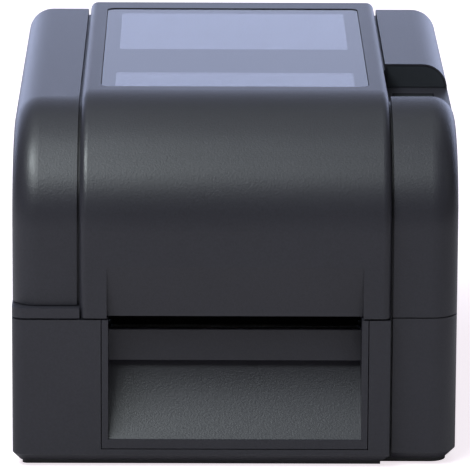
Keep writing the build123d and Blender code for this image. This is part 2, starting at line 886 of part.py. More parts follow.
# Roll arms in the trough, each with a turning hub and a rack under the floor
arm_thickness = 3.0
arm_outer = bay_half - fit_gap
arm_inner = arm_outer - arm_thickness
arm_head_radius = 20.0
arm_foot_half = 15.0
arm_foot_drop = 40.0
hub_radius = 12.0
hub_flange_radius = 15.0
hub_flange = 1.5
hub_length = 10.0
hub_axle_radius = 5.0
hub_taper = 4.0
for side, word in ((-1, "left"), (1, "right")):
    arm_x = sorted((side * arm_outer, side * arm_inner))
    with BuildPart() as roll_arm:
        with BuildSketch(Plane.YZ.offset(arm_x[0])):
            with BuildSketch(mode=Mode.PRIVATE) as ends:
                with Locations(roll_centre):
                    Circle(arm_head_radius)
                with Locations((roll_centre[0], roll_centre[1] - arm_foot_drop)):
                    Rectangle(2 * arm_foot_half, arm_foot_half)
            make_hull(ends.edges())
            with Locations((roll_centre[0], roll_centre[1] - arm_foot_drop)):
                Rectangle(2 * arm_foot_half, 2 * trough_radius, align=(Align.CENTER, Align.MAX))
            with Locations(roll_centre):
                Circle(trough_radius - fit_gap, mode=Mode.INTERSECT)
        extrude(amount=arm_thickness)
        block(
            arm_x,
            (roll_centre[0] - guide_foot_half, roll_centre[0] + guide_foot_half),
            (roll_rack_top, roll_centre[1] - trough_radius + overrun),
        )
        axle_end = arm_inner - hub_length + hub_flange
        rod(*sorted((side * axle_end, side * arm_inner)), roll_centre, hub_axle_radius)
    save(roll_arm.part, f"roll_arm_{word}")
    hub_start = arm_inner - fit_gap
    flange_x = sorted((side * hub_start, side * (hub_start - hub_flange)))
    with BuildPart() as roll_hub:
        rod(*flange_x, roll_centre, hub_flange_radius)
        with BuildSketch(Plane.YZ.offset(side * (hub_start - hub_flange))) as nose:
            with Locations(roll_centre):
                Circle(hub_radius)
        extrude(nose.sketch, amount=-side * (hub_length - fit_gap - hub_flange), taper=hub_taper)
        rod(
            *sorted((side * (axle_end - fit_gap), side * hub_start)),
            roll_centre, hub_axle_radius + shaft_gap, Mode.SUBTRACT,
        )
    save(roll_hub.part, f"roll_hub_{word}")
    with BuildPart() as roll_rack:
        rack(side, roll_centre[0], roll_rack_top, side * arm_outer)
    save(roll_rack.part, f"roll_rack_{word}")

with BuildPart() as roll_pinion:
    upright_pinion((0, roll_centre[0]), roll_rack_top, post_radius + shaft_gap)
save(roll_pinion.part, "roll_pinion")

# Label gap sensor under the deck
sensor_width = 16.0
sensor_depth = 9.0
sensor_height = 5.0
sensor_space = 22.0
sensor_y = platen_centre[0] + sensor_space
with BuildPart() as media_sensor:
    block(
        (-sensor_width / 2, sensor_width / 2),
        (sensor_y - sensor_depth / 2, sensor_y + sensor_depth / 2),
        (deck_under - sensor_height, deck_under),
    )
save(media_sensor.part, "media_sensor")

# Main board on the bottom plate's stand-offs, its sockets facing the rear
board_thickness = 1.6
board_top = board_bottom + board_thickness
chip_shares = ((-0.667, 0.19), (-0.21, 0.22), (0.246, 0.19), (0.702, 0.18))
chip_places = [
    (x_share * board_half, board_front + y_share * board_depth) for x_share, y_share in chip_shares
]
chip_size = 11.0
chip_height = 1.8
with BuildPart() as main_board:
    block((-board_half, board_half), (board_front, board_rear), (board_bottom, board_top))
    with BuildSketch(Plane.XY.offset(board_top)):
        with Locations(*chip_places):
            RectangleRounded(chip_size, chip_size, chip_height / 4)
    extrude(amount=chip_height)
save(main_board.part, "main_board")

# Sockets: centre and width along X, height, and the opening's width and height
socket_proud = 1.4
socket_length = 20.4
socket_face = rear - case_wall + socket_proud
socket_front = socket_face - socket_length
socket_depth = 12.0
socket_table = {
    "power_switch": (-45.0, 20.0, 14.0, 17.0, 11.0),
    "dc_jack": (-25.5, 11.0, 11.0, 0.0, 6.4),
    "usb_port": (-9.0, 12.0, 11.0, 8.4, 7.8),
    "network_port": (10.0, 16.0, 13.5, 12.0, 9.0),
    "serial_port": (38.0, 31.0, 12.5, 17.0, 8.4),
}
pin_radius = 0.6
shell_flank_angle = 80.0
switch_x, switch_height = [socket_table["power_switch"][index] for index in (0, 2)]
rocker_width, rocker_height = socket_table["power_switch"][-2:]
rocker_sink = 2.0
rocker_centre = (socket_face - rocker_sink, board_top + switch_height / 2)
rocker_pin_radius = 1.0
rocker_pin_reach = 1.0
rocker_pin_half = rocker_width / 2 + rocker_pin_reach
for name, (middle, width, height, mouth_width, mouth_height) in socket_table.items():
    mouth_middle = board_top + height / 2
    with BuildPart() as socket:
        block(
            (middle - width / 2, middle + width / 2),
            (socket_front, socket_face),
            (board_top, board_top + height),
        )
        with BuildSketch(Plane.XZ.offset(-socket_face)) as mouth:
            with Locations((middle, mouth_middle)):
                if name == "dc_jack":
                    Circle(mouth_height / 2)
                elif name == "serial_port":
                    Trapezoid(mouth_width, mouth_height, shell_flank_angle, rotation=180)
                elif name == "usb_port":
                    Rectangle(mouth_width, mouth_height)
                    chamfer(mouth.vertices().group_by(Axis.Y)[-1], mouth_height / 5)
                else:
                    Rectangle(mouth_width, mouth_height)
        extrude(mouth.sketch, amount=socket_depth, mode=Mode.SUBTRACT)
        if name == "power_switch":
            rod(
                switch_x - rocker_pin_half - shaft_gap,
                switch_x + rocker_pin_half + shaft_gap,
                rocker_centre,
                rocker_pin_radius + shaft_gap,
                Mode.SUBTRACT,
            )
        if name == "dc_jack":
            with BuildSketch(Plane.XZ.offset(socket_depth - socket_face)) as pin:
                with Locations((middle, mouth_middle)):
                    Circle(2 * pin_radius)
            extrude(pin.sketch, amount=-socket_depth + pin_radius)
        if name == "serial_port":
            with BuildSketch(Plane.XZ.offset(socket_depth - socket_face)) as pins:
                for pin_count, row in ((5, 1), (4, -1)):
                    with Locations((middle, mouth_middle + row * mouth_height / 6)):
                        with GridLocations(mouth_width / 6, 0, pin_count, 1):
                            Circle(pin_radius)
            extrude(pins.sketch, amount=-socket_depth / 2)
    save(socket.part, name)

# Power rocker on two round pins, stored pressed at its upper half
rocker_tilt = 8.0
rocker_depth = 3.5
rocker_gap = 0.5
rocker_flank_angle = 75.0
with BuildPart() as power_rocker:
    with BuildSketch(Plane.YZ.offset(switch_x - rocker_width / 2 + rocker_gap)) as rocker_side:
        with Locations(Location((*rocker_centre, 0), (0, 0, rocker_tilt))):
            Trapezoid(
                rocker_height - 3 * rocker_gap, rocker_depth, rocker_flank_angle, rotation=90
            )
    extrude(rocker_side.sketch, amount=rocker_width - 2 * rocker_gap)
    rod(switch_x - rocker_pin_half, switch_x + rocker_pin_half, rocker_centre, rocker_pin_radius)
save(power_rocker.part, "power_rocker")

# Plate round the sockets, behind the case's opening
interface_thickness = 1.5
interface_half = board_half + port_margin
interface_z = (6.0, 31.0)
interface_rear = rear - case_wall
with BuildPart() as interface_plate:
    block(
        (-interface_half, interface_half),
        (interface_rear - interface_thickness, interface_rear),
        interface_z,
    )
    for middle, width, height, mouth_width, mouth_height in socket_table.values():
        block(
            (middle - width / 2 - fit_gap, middle + width / 2 + fit_gap),
            (interface_rear - overrun, interface_rear + overrun),
            (board_top - fit_gap, board_top + height + fit_gap),
            Mode.SUBTRACT,
        )
save(interface_plate.part, "interface_plate")

# Fixed tower on the right, with the button notch cut into its top
notch_depth = 11.8
notch_start = 66.5
notch_length = 71.7
notch_edge = 2.5
notch_floor = cover_top - notch_depth
notch_front = front + notch_start
notch_rear = notch_front + notch_length
notch_wall = 2.5
window_inset = 0.8
window_depth = 1.0
button_inset = 3.5
button_width = 19.0
button_start = 13.5
button_end = 11.9
button_x = (tower_inner + button_inset, tower_inner + button_inset + button_width)
button_y = (notch_front + button_start, notch_rear - button_end)
button_gap = 0.4
button_drop = 0.6
button_lip = 0.8
button_lip_thickness = 2.0
button_travel = 1.0
button_stem_radius = 3.0
panel_board_drop = 11.6
panel_board_inset = 4.8
panel_board_width = 21.0
panel_board_start = 3.5
panel_board_end = 2.2
panel_board_thickness = 1.6
panel_board_bottom = notch_floor - panel_board_drop
panel_board_top = panel_board_bottom + panel_board_thickness
panel_board_left = tower_inner + panel_board_inset
panel_board_x = (panel_board_left, panel_board_left + panel_board_width)
panel_board_y = (notch_front + panel_board_start, notch_rear - panel_board_end)
post_side = 13.0
post_end = 4.0
panel_posts = [
    (panel_board_left + post_side, panel_board_y[0] + post_end),
    (panel_board_left + post_side, panel_board_y[1] - post_end),
]
cap_height = 0.6
button_middle = (sum(button_x) / 2, sum(button_y) / 2)
button_bottom = notch_floor - notch_wall - part_line - button_lip_thickness
stem_bottom = panel_board_top + cap_height + button_travel + part_line
seam_inset = 0.8
seam_height = 0.6
tower_outer = rounded_cover(tower_inner, half_width, 0, case_top)
tower_core = rounded_cover(
    tower_inner + cover_wall, half_width - cover_wall, cover_wall, case_top - overrun
)
window_seat_body = rounded_cover(
    tower_inner + window_inset, half_width - window_inset, window_inset, case_top
)
window_body = rounded_cover(
    tower_inner + window_inset + fit_gap,
    half_width - window_inset - fit_gap,
    window_inset + fit_gap,
    case_top,
)
tower_x = (tower_inner - overrun, half_width + overrun)
with BuildPart() as notch_space:
    block(tower_x, (notch_front, notch_rear), (notch_floor, body_height + overrun))
    with BuildSketch(Plane.YZ.offset(tower_x[0])) as flare:
        with Locations((notch_front - notch_edge, cover_top - notch_edge)):
            Rectangle(notch_edge, 2 * notch_edge, align=(Align.MIN, Align.MIN))
            Circle(notch_edge, mode=Mode.SUBTRACT)
    extrude(flare.sketch, amount=tower_x[1] - tower_x[0])
with BuildPart() as tower_hollow:
    add(tower_core)
    block(
        tower_x,
        (notch_front - notch_wall, notch_rear + notch_wall),
        (notch_floor - notch_wall, body_height + overrun),
        Mode.SUBTRACT,
    )
with BuildPart() as window_seat:
    add(window_seat_body)
    block(
        tower_x,
        (notch_rear, notch_rear + window_depth),
        (notch_floor + part_line, body_height + overrun),
        Mode.INTERSECT,
    )
seam_core = rounded_cover(tower_inner, half_width - seam_inset, seam_inset, case_top)
with BuildPart() as seam_ring:
    add(tower_outer)
    add(seam_core, mode=Mode.SUBTRACT)
    block(tower_x, (front, rear), (case_top - overrun, case_top + seam_height), Mode.INTERSECT)
with BuildPart() as tower_cover:
    add(tower_outer)
    add(seam_ring.part, mode=Mode.SUBTRACT)
    add(tower_hollow.part, mode=Mode.SUBTRACT)
    tongue = bent_side(
        spine_half + split_clearance,
        cover_front + groove_depth,
        cover_top - groove_depth,
        cover_rear - groove_depth,
        case_top,
    )
    extrude(tongue, amount=split_gap - split_clearance)
    add(notch_space.part, mode=Mode.SUBTRACT)
    add(window_seat.part, mode=Mode.SUBTRACT)
    block(
        (tower_inner, tower_inner + cover_wall),
        (front + case_front_wall + fit_gap, cover_rear - cover_wall),
        (deck_height, case_top + cover_wall),
    )
    block(
        (button_x[0] - button_gap, button_x[1] + button_gap),
        (button_y[0] - button_gap, button_y[1] + button_gap),
        (notch_floor - overrun, notch_floor + overrun),
        Mode.SUBTRACT,
    )
    posts(panel_posts, panel_board_top, notch_floor - notch_wall, button_stem_radius)
save(tower_cover.part, "tower_cover")

with BuildPart() as status_window:
    add(window_body)
    block(
        tower_x,
        (notch_rear, notch_rear + window_depth),
        (notch_floor + part_line + fit_gap, body_height + overrun),
        Mode.INTERSECT,
    )
save(status_window.part, "status_window")

# Feed button, its stem over the switch on the small board
with BuildPart() as feed_button:
    block(button_x, button_y, (button_bottom, notch_floor - button_drop))
    fillet(feed_button.edges().filter_by(Axis.Z), button_lip)
    fillet(feed_button.faces().sort_by(Axis.Z)[-1].edges(), button_lip / 2)
    block(
        (button_x[0] - button_lip, button_x[1] + button_lip),
        (button_y[0] - button_lip, button_y[1] + button_lip),
        (button_bottom, button_bottom + button_lip_thickness),
    )
    posts([button_middle], stem_bottom, button_bottom, button_stem_radius)
save(feed_button.part, "feed_button")

with BuildPart() as button_board:
    block(panel_board_x, panel_board_y, (panel_board_bottom, panel_board_top))
    posts([button_middle], panel_board_top, panel_board_top + cap_height, button_stem_radius)
save(button_board.part, "button_board")

# Lid cover: proud centre spine with the window seat, exit hood and ledge band
light_table = (
    (window_half - rear_light_side, rear_light_stop - rear_light_depth, rear_light_stop),
    (window_half - front_light_side, front_light_start, front_light_start + front_light_depth),
)
ear_slot_top = hinge_height + ear_slot_rise
with BuildPart() as lid_cover:
    extrude(bent_side(-spine_half, front, body_height, lid_rear, lid_bottom), amount=2 * spine_half)
    for index in (0, -1):
        fillet(top_rim(lid_cover.faces().sort_by(Axis.X)[index], lid_bottom, lid_rear), spine_edge)
    fillet(rear_top_edge(lid_cover), rear_edge)
    block((-half_width, -spine_half), (front, lid_rear), (lid_bottom, band_top))
    fillet(
        lid_cover.edges().filter_by(Axis.Z).group_by(Axis.X)[0],
        case_corner,
    )
    block(
        (band_wall - half_width, left_cover_inner + cover_split),
        (front + band_depth, lid_rear - band_wall),
        (lid_bottom - overrun, band_top + overrun / 4),
        Mode.SUBTRACT,
    )
    left_tongue = bent_side(
        left_cover_inner,
        cover_front + groove_depth,
        cover_top - groove_depth,
        cover_rear - groove_depth,
        lid_bottom,
    )
    extrude(left_tongue, amount=cover_split)
    # Hollow: bent upper part, then the lower part behind the hood
    cavity_front = front + lid_front_wall
    hood_inner = front + hood_depth + hood_wall
    cavity_rear = lid_rear - lid_wall
    lower_top = hood_top + hood_wall
    extrude(
        bent_side(-lid_inside, cavity_front, roof_under, cavity_rear, lower_top),
        amount=2 * lid_inside, mode=Mode.SUBTRACT,
    )
    side_plate(
        -lid_inside,
        lid_inside,
        [
            (cavity_front, lower_top),
            (hood_inner, lid_bottom),
            (hood_inner, lid_bottom - overrun),
            (hinge_depth, lid_bottom - overrun),
            (hinge_depth, hinge_height),
            (cavity_rear, hinge_height),
            (cavity_rear, lower_top),
        ],
        Mode.SUBTRACT,
    )
    rod(-lid_inside, lid_inside, hinge_centre, hinge_reach - lid_wall, Mode.SUBTRACT)
    add(hinge_round(-half_width - overrun, spine_half + overrun), mode=Mode.SUBTRACT)
    side_plate(
        -hood_half,
        hood_half,
        [
            (front, hood_top),
            (front + hood_depth, lid_bottom),
            (front + hood_depth, lid_bottom - overrun),
            (front - overrun, lid_bottom - overrun),
            (front - overrun, hood_top),
        ],
        Mode.SUBTRACT,
    )
    with BuildSketch(Plane.XY.offset(window_under)) as seat:
        with Locations((0, (window_front + window_rear) / 2)):
            RectangleRounded(
                2 * (window_half + fit_gap),
                window_rear - window_front + 2 * fit_gap,
                window_corner + fit_gap,
            )
    extrude(seat.sketch, amount=overrun, mode=Mode.SUBTRACT)
    with BuildSketch(Plane.XY.offset(roof_under - overrun / 4)) as lights:
        for light_half, light_front, light_rear in light_table:
            with Locations((0, (light_front + light_rear) / 2)):
                RectangleRounded(2 * light_half, light_rear - light_front, light_corner)
    extrude(lights.sketch, amount=overrun, mode=Mode.SUBTRACT)
    for side in (-1, 1):
        block(
            sorted((side * (ear_start - fit_gap), side * (ear_end + fit_gap))),
            (hinge_depth - hinge_reach, lid_rear + overrun),
            (lid_bottom - overrun, ear_slot_top),
            Mode.SUBTRACT,
        )
save(lid_cover.part, "lid_cover")

# Left cover beside the spine
shoulder_outer = rounded_cover(left_cover_inner, -half_width, 0, cover_bottom)
shoulder_core = rounded_cover(
    left_cover_inner - cover_wall, cover_wall - half_width, cover_wall, cover_bottom - overrun
)
with BuildPart() as shoulder_cover:
    add(shoulder_outer)
    add(shoulder_core, mode=Mode.SUBTRACT)
    add(hinge_round(-half_width - overrun, -spine_half), mode=Mode.SUBTRACT)
save(shoulder_cover.part, "shoulder_cover")

with BuildPart() as window_pane:
    with BuildSketch(Plane.XY.offset(window_under)):
        with Locations((0, (window_front + window_rear) / 2)):
            RectangleRounded(2 * window_half, window_rear - window_front, window_corner)
    extrude(amount=window_thickness)
save(window_pane.part, "window_pane")

# Print head's sizes, placed first because the beam over it follows them
head_front = 8.0
head_rear = 10.0
head_y = (platen_centre[0] - head_front, platen_centre[0] + head_rear)
strip_thickness = 2.2
strip_rear = 7.0
strip_end_gap = 1.0
strip_bottom = platen_centre[1] + platen_radius + fit_gap
strip_top = strip_bottom + strip_thickness
strip_y = (head_y[0], platen_centre[0] + strip_rear)
strip_half = platen_half - strip_end_gap
sink_height = 11.5
sink_top = strip_top + sink_height
head_bracket_thickness = 1.5
bracket_top = sink_top + head_bracket_thickness
spring_length = 14.5

# Lid frame: two side plates joined by a rear bar, a top tie and the head beam
beam_thickness = 4.0
beam_front = 5.0
beam_rear = 11.0
beam_bottom = bracket_top + spring_length
beam_y = (platen_centre[0] - beam_front, platen_centre[0] + beam_rear)
rear_bar_gap = 6.9
rear_bar_depth = 6.0
rear_bar_rise = 3.0
rear_bar_height = 8.0
rear_bar_y = (hinge_depth - rear_bar_gap - rear_bar_depth, hinge_depth - rear_bar_gap)
rear_bar_z = (hinge_height + rear_bar_rise, hinge_height + rear_bar_rise + rear_bar_height)
tie_gap = 25.0
tie_depth = 30.0
tie_drop = 3.6
tie_thickness = 3.0
tie_y = (supply_centre[0] + tie_gap, supply_centre[0] + tie_gap + tie_depth)
tie_z = (roof_under - tie_drop - tie_thickness, roof_under - tie_drop)
frame_gap = 7.5
frame_inset = 18.0
frame_chin = 4.0
frame_heel = 15.9
eye_blend = 1.0
back_run = 20.9
back_rise = 23.0
waist_rise = 2.0
tie_margin = 2.0
brow_drop = 12.6
brow_start = 1.0
brow_rise = 16.3
cheek_rise = 34.0
frame_bottom = deck_height + frame_gap
frame_front = front + frame_inset
eye_line = hinge_depth - hinge_eye_radius / 2
frame_outline = [
    (frame_front + frame_chin, frame_bottom),
    (hinge_depth - frame_heel, frame_bottom),
    (eye_line, hinge_height - hinge_eye_radius + eye_blend),
    (eye_line, hinge_height + hinge_eye_radius - eye_blend),
    (hinge_depth - back_run, hinge_height + back_rise),
    (tie_y[1] + tie_margin, supply_centre[1] + waist_rise),
    (tie_y[1] + tie_margin, roof_under),
    (tie_y[0] - tie_margin, roof_under),
    (tie_y[0] - tie_margin, roof_under - brow_drop),
    (bend_start + brow_start, roof_under - brow_drop),
    (frame_front, crease_height + brow_rise),
    (frame_front, platen_centre[1] + cheek_rise),
]
hub_shaft_radius = 3.0
hub_axis_table = {"supply": supply_centre, "rewind": rewind_centre}
with BuildPart() as lid_frame:
    for side in (-1, 1):
        span = sorted((side * bay_half, side * plate_outer))
        side_plate(*span, frame_outline)
        rod(*span, hinge_centre, hinge_eye_radius)
        rod(*span, hinge_centre, hinge_rod_radius + shaft_gap, Mode.SUBTRACT)
        for centre in hub_axis_table.values():
            rod(*span, centre, hub_shaft_radius + shaft_gap, Mode.SUBTRACT)
    block((-plate_outer, plate_outer), beam_y, (beam_bottom, beam_bottom + beam_thickness))
    block((-plate_outer, plate_outer), rear_bar_y, rear_bar_z)
    block((-plate_outer, plate_outer), tie_y, tie_z)
    rod(plate_outer, gear_end + part_line, ribbon_gear_centre, axle_radius)
    for side in (-1, 1):
        rod(*sorted((side * plate_outer, side * pawl_end)), catch_centre, catch_radius)
save(lid_frame.part, "lid_frame")

# Thermal print head: ceramic strip, finned heat sink, steel bracket and two springs
sink_base = 3.0
fin_count = 5
fin_thickness = 1.5
fin_pitch = (head_front + head_rear - fin_thickness) / (fin_count - 1)
spring_x = 35.0
spring_radius = 4.5
spring_wire = 1.0
with BuildPart() as print_head:
    block((-strip_half, strip_half), strip_y, (strip_bottom, strip_top))
save(print_head.part, "print_head")

with BuildPart() as head_sink:
    block((-strip_half, strip_half), head_y, (strip_top, strip_top + sink_base))
    with BuildSketch(Plane.XY.offset(strip_top + sink_base)):
        with Locations((0, sum(head_y) / 2)):
            with GridLocations(0, fin_pitch, 1, fin_count):
                Rectangle(2 * strip_half, fin_thickness)
    extrude(amount=sink_height - sink_base)
save(head_sink.part, "head_sink")

with BuildPart() as head_bracket:
    block((fit_gap - bay_half, bay_half - fit_gap), head_y, (sink_top, bracket_top))
save(head_bracket.part, "head_bracket")

with BuildPart() as head_springs:
    for side in (-1, 1):
        places = [(side * spring_x, sum(head_y) / 2)]
        posts(places, bracket_top, beam_bottom, spring_radius)
        posts(places, bracket_top, beam_bottom, spring_radius - spring_wire, Mode.SUBTRACT)
save(head_springs.part, "head_springs")

# Ribbon gears and hubs in the lid
with BuildPart() as ribbon_gear:
    gear(gear_start, ribbon_gear_centre, ribbon_teeth, ribbon_phase, axle_radius + shaft_gap)
save(ribbon_gear.part, "ribbon_gear")

with BuildPart() as rewind_gear:
    gear(gear_start, rewind_centre, rewind_teeth, rewind_phase, hub_shaft_radius + shaft_gap)
save(rewind_gear.part, "rewind_gear")

ribbon_hub_radius = 12.4
ribbon_flange_radius = 16.0
ribbon_flange = 1.5
ribbon_hub_length = 14.0
ribbon_hub_taper = 3.0
rib_width = 1.6
rib_height = 1.0
rib_count = 3
for role, centre in hub_axis_table.items():
    for side, word in ((-1, "left"), (1, "right")):
        hub_start = bay_half - fit_gap
        driven = role == "rewind" and side > 0
        shaft_end = (gear_end if driven else plate_outer) + part_line
        flange_x = sorted((side * hub_start, side * (hub_start - ribbon_flange)))
        with BuildPart() as ribbon_hub:
            rod(*sorted((side * hub_start, side * shaft_end)), centre, hub_shaft_radius)
            rod(*flange_x, centre, ribbon_flange_radius)
            with BuildSketch(Plane.YZ.offset(side * (hub_start - ribbon_flange))) as nose:
                with Locations(centre):
                    Circle(ribbon_hub_radius)
                    with PolarLocations(ribbon_hub_radius, rib_count):
                        Rectangle(2 * rib_height, rib_width)
            extrude(nose.sketch, amount=-side * ribbon_hub_length, taper=ribbon_hub_taper)
        save(ribbon_hub.part, f"{role}_hub_{word}")
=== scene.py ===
"""Finishes, small pieces and a studio for a desktop label printer, laid out as an add-on."""

import math

import bmesh
import bpy
from bpy.props import FloatProperty, FloatVectorProperty, IntProperty, PointerProperty
from mathutils import Matrix, Vector


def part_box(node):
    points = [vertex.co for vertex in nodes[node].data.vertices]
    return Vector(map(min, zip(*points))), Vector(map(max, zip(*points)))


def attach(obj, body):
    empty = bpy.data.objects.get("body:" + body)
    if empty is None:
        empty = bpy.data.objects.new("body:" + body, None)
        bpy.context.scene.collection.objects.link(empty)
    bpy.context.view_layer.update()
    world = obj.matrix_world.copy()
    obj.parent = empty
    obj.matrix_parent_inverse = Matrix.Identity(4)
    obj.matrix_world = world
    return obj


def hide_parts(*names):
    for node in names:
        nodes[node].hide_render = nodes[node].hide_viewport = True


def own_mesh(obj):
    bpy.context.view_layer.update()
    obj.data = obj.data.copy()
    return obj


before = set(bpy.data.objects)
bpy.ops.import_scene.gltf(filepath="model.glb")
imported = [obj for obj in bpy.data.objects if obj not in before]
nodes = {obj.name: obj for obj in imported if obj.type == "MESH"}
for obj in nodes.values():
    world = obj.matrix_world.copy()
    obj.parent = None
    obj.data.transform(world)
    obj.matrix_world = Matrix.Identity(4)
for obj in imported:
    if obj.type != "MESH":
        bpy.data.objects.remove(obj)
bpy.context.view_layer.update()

bl_info = {
    "name": "Label Printer Finishes",
    "version": (1, 0, 0),
    "blender": (4, 5, 0),
    "location": "View3D > Sidebar > Printer",
    "description": "Finishes, small pieces and a studio for a desktop label printer",
    "category": "Object",
}

MM = 0.001


def linear(hex_colour):
    """Linear red, green and blue of an sRGB hex value."""
    channels = [int(hex_colour[start:start + 2], 16) / 255 for start in (1, 3, 5)]
    return tuple(c / 12.92 if c <= 0.04045 else ((c + 0.055) / 1.055) ** 2.4 for c in channels)


def colour(name, hex_colour, description):
    """A colour setting."""
    return FloatVectorProperty(
        name=name, description=description, subtype="COLOR", size=3, min=0, max=1,
        default=linear(hex_colour),
    )


def length(name, value, description):
    """A length setting, in metres."""
    return FloatProperty(
        name=name, description=description, subtype="DISTANCE", unit="LENGTH", default=value, precision=5,
    )


def level(name, value, description):
    """A setting without a unit."""
    return FloatProperty(name=name, description=description, default=value)


# Sizes and colours that a user would change


class CaseSettings(bpy.types.PropertyGroup):
    shell: colour("Shell", "#2e2d34", "Charcoal of the outer mouldings")
    button: colour("Button", "#2a2c2f", "Feed button and power rocker")
    chassis: colour("Chassis", "#1b1c1e", "Black of the inner mouldings")
    grain: length("Grain", 0.9 * MM, "Spacing of the spark-eroded grain, coarse enough to show")


class WindowSettings(bpy.types.PropertyGroup):
    tint: colour("Tint", "#e6e8f0", "Cold tint of the clear pane")
    ink: colour("Ink", "#10131f", "Ink printed behind the pane")
    ink_depth: length("Ink depth", 0.15 * MM, "Height of the ink over the pane's underside")
    rear_zone_front: length("Rear zone front", 19.7 * MM, "Front edge of the rear clear zone")
    rear_zone_rear: length("Rear zone rear", 108.2 * MM, "Rear edge of the rear clear zone")
    rear_zone_half: length("Rear zone half width", 55.0 * MM, "Half the width of the rear clear zone")
    front_zone_front: length("Front zone front", -67.2 * MM, "Front edge of the front clear zone")
    front_zone_rear: length("Front zone rear", -34.9 * MM, "Rear edge of the front clear zone")
    front_zone_half: length("Front zone half width", 55.8 * MM, "Half the width of the front clear zone")


class MechanismSettings(bpy.types.PropertyGroup):
    gear: colour("Gear", "#e4e2d8", "Natural acetal of the gears and racks")
    rubber: colour("Rubber", "#151515", "Rubber of the platen and feet")
    spring_wire: length("Spring wire", 0.9 * MM, "Wire of the head springs")
    spring_turns: IntProperty(name="Spring turns", description="Turns of each head spring", default=6, min=2)


class StudioSettings(bpy.types.PropertyGroup):
    floor: colour("Floor", "#dad3d8", "Pale floor and backdrop")
    overhead: level("Overhead", 3.1, "Radiance of the softbox overhead")
    forward: level("Forward", 6.2, "Radiance of the softbox ahead")
    edge: level("Edge light", 20.0, "Radiance of the small softbox above the left edge")
    ceiling: level("Ceiling", 0.5, "Radiance of the ceiling bounce")
    weak: level("Right share", 0.12, "Share that the right-hand twins give")
    rear: level("Rear light", 1.38, "Radiance of the cold strip behind")
    fill: level("Fill", 0.07, "Strength of the even light all round")


# Nodes and materials


def add_node(tree, kind, values=None, links=None, **settings):
    """Add one node with its settings, its socket values and the outputs that feed it."""
    node = tree.nodes.new(kind)
    for name, value in settings.items():
        setattr(node, name, value)
    for socket, value in (values or {}).items():
        node.inputs[socket].default_value = value
    for socket, output in (links or {}).items():
        tree.links.new(output, node.inputs[socket])
    return node


def new_material(name):
    """A material with an empty tree and its output."""
    material = bpy.data.materials.new(name)
    material.use_nodes = True
    tree = material.node_tree
    tree.nodes.clear()
    return material, tree, add_node(tree, "ShaderNodeOutputMaterial")


def per_metre(spacing):
    """Texture scale whose pattern repeats at a real spacing."""
    return 1.0 / spacing


def shaded(base, factor):
    """A colour made darker or lighter, with full alpha."""
    return tuple(min(1.0, c * factor) for c in base) + (1.0,)


def grained(name, base, spacing, roughness, depth, contrast, stretch=(1, 1, 1), **sockets):
    """A surface with fine grain: colour and bump follow one noise, worked out from a real spacing."""
    cloud_spacing = 60 * MM
    cloud_share = 0.3
    roughness_swing = 0.04
    material, tree, output = new_material(name)
    place = add_node(tree, "ShaderNodeTexCoord")
    scaled = add_node(
        tree, "ShaderNodeMapping", {"Scale": stretch}, {"Vector": place.outputs["Object"]}
    )
    grain = add_node(
        tree, "ShaderNodeTexNoise", {"Scale": per_metre(spacing), "Detail": 3.0, "Roughness": 0.6},
        {"Vector": scaled.outputs["Vector"]},
    )
    cloud = add_node(
        tree, "ShaderNodeTexNoise", {"Scale": per_metre(cloud_spacing), "Detail": 2.0},
        {"Vector": place.outputs["Object"]},
    )
    both = add_node(
        tree, "ShaderNodeMix", {"Factor": cloud_share},
        {"A": grain.outputs["Fac"], "B": cloud.outputs["Fac"]}, data_type="FLOAT",
    )
    ramp = add_node(tree, "ShaderNodeValToRGB", links={"Fac": both.outputs["Result"]})
    dark, light = ramp.color_ramp.elements
    dark.position = 0.3
    dark.color = shaded(base, 1 - contrast)
    light.position = 0.7
    light.color = shaded(base, 1 + contrast)
    sheen = add_node(
        tree, "ShaderNodeMapRange",
        {"To Min": roughness - roughness_swing, "To Max": roughness + roughness_swing},
        {"Value": grain.outputs["Fac"]},
    )
    bump = add_node(
        tree, "ShaderNodeBump", {"Strength": 0.6, "Distance": depth}, {"Height": grain.outputs["Fac"]}
    )
    shader = add_node(
        tree, "ShaderNodeBsdfPrincipled", sockets,
        {"Base Color": ramp.outputs["Color"], "Roughness": sheen.outputs["Result"],
         "Normal": bump.outputs["Normal"]},
    )
    tree.links.new(shader.outputs["BSDF"], output.inputs["Surface"])
    return material


def moulded_abs(case):
    """ABS from a spark-eroded mould: an even charcoal with a matt grain and a wide soft sheen.

    The real grain is near 0.3 mm, too fine to show, so it is drawn coarser.
    """
    return grained(
        "moulded_abs_charcoal", case.shell, case.grain, roughness=0.38, depth=0.16 * MM, contrast=0.2,
        IOR=1.53,
    )


def polished_abs(case):
    """ABS from a finer mould face: the same charcoal, smoother under the finger."""
    return grained(
        "fine_abs_button", case.button, 0.3 * MM, roughness=0.36, depth=0.02 * MM, contrast=0.06, IOR=1.53,
    )


def moulded_chassis(case):
    """Glass-filled ABS of the inner parts: black, with the mould's coarser flow."""
    return grained(
        "filled_abs_black", case.chassis, 0.8 * MM, roughness=0.5, depth=0.04 * MM, contrast=0.2, IOR=1.53,
    )


def acetal(gear):
    """Natural acetal: off-white, waxy and slightly cloudy."""
    return grained(
        "natural_acetal", gear, 2.0 * MM, roughness=0.34, depth=0.01 * MM, contrast=0.04,
        **{"IOR": 1.48, "Subsurface Weight": 0.15, "Subsurface Radius": (0.002, 0.002, 0.0015)},
    )


def ground_rubber(rubber):
    """Nitrile rubber ground round the roller: near black, with fine rings and no gloss."""
    return grained(
        "ground_nitrile_rubber", rubber, 0.5 * MM, roughness=0.72, depth=0.03 * MM, contrast=0.25,
        stretch=(3, 1, 1), IOR=1.52,
    )


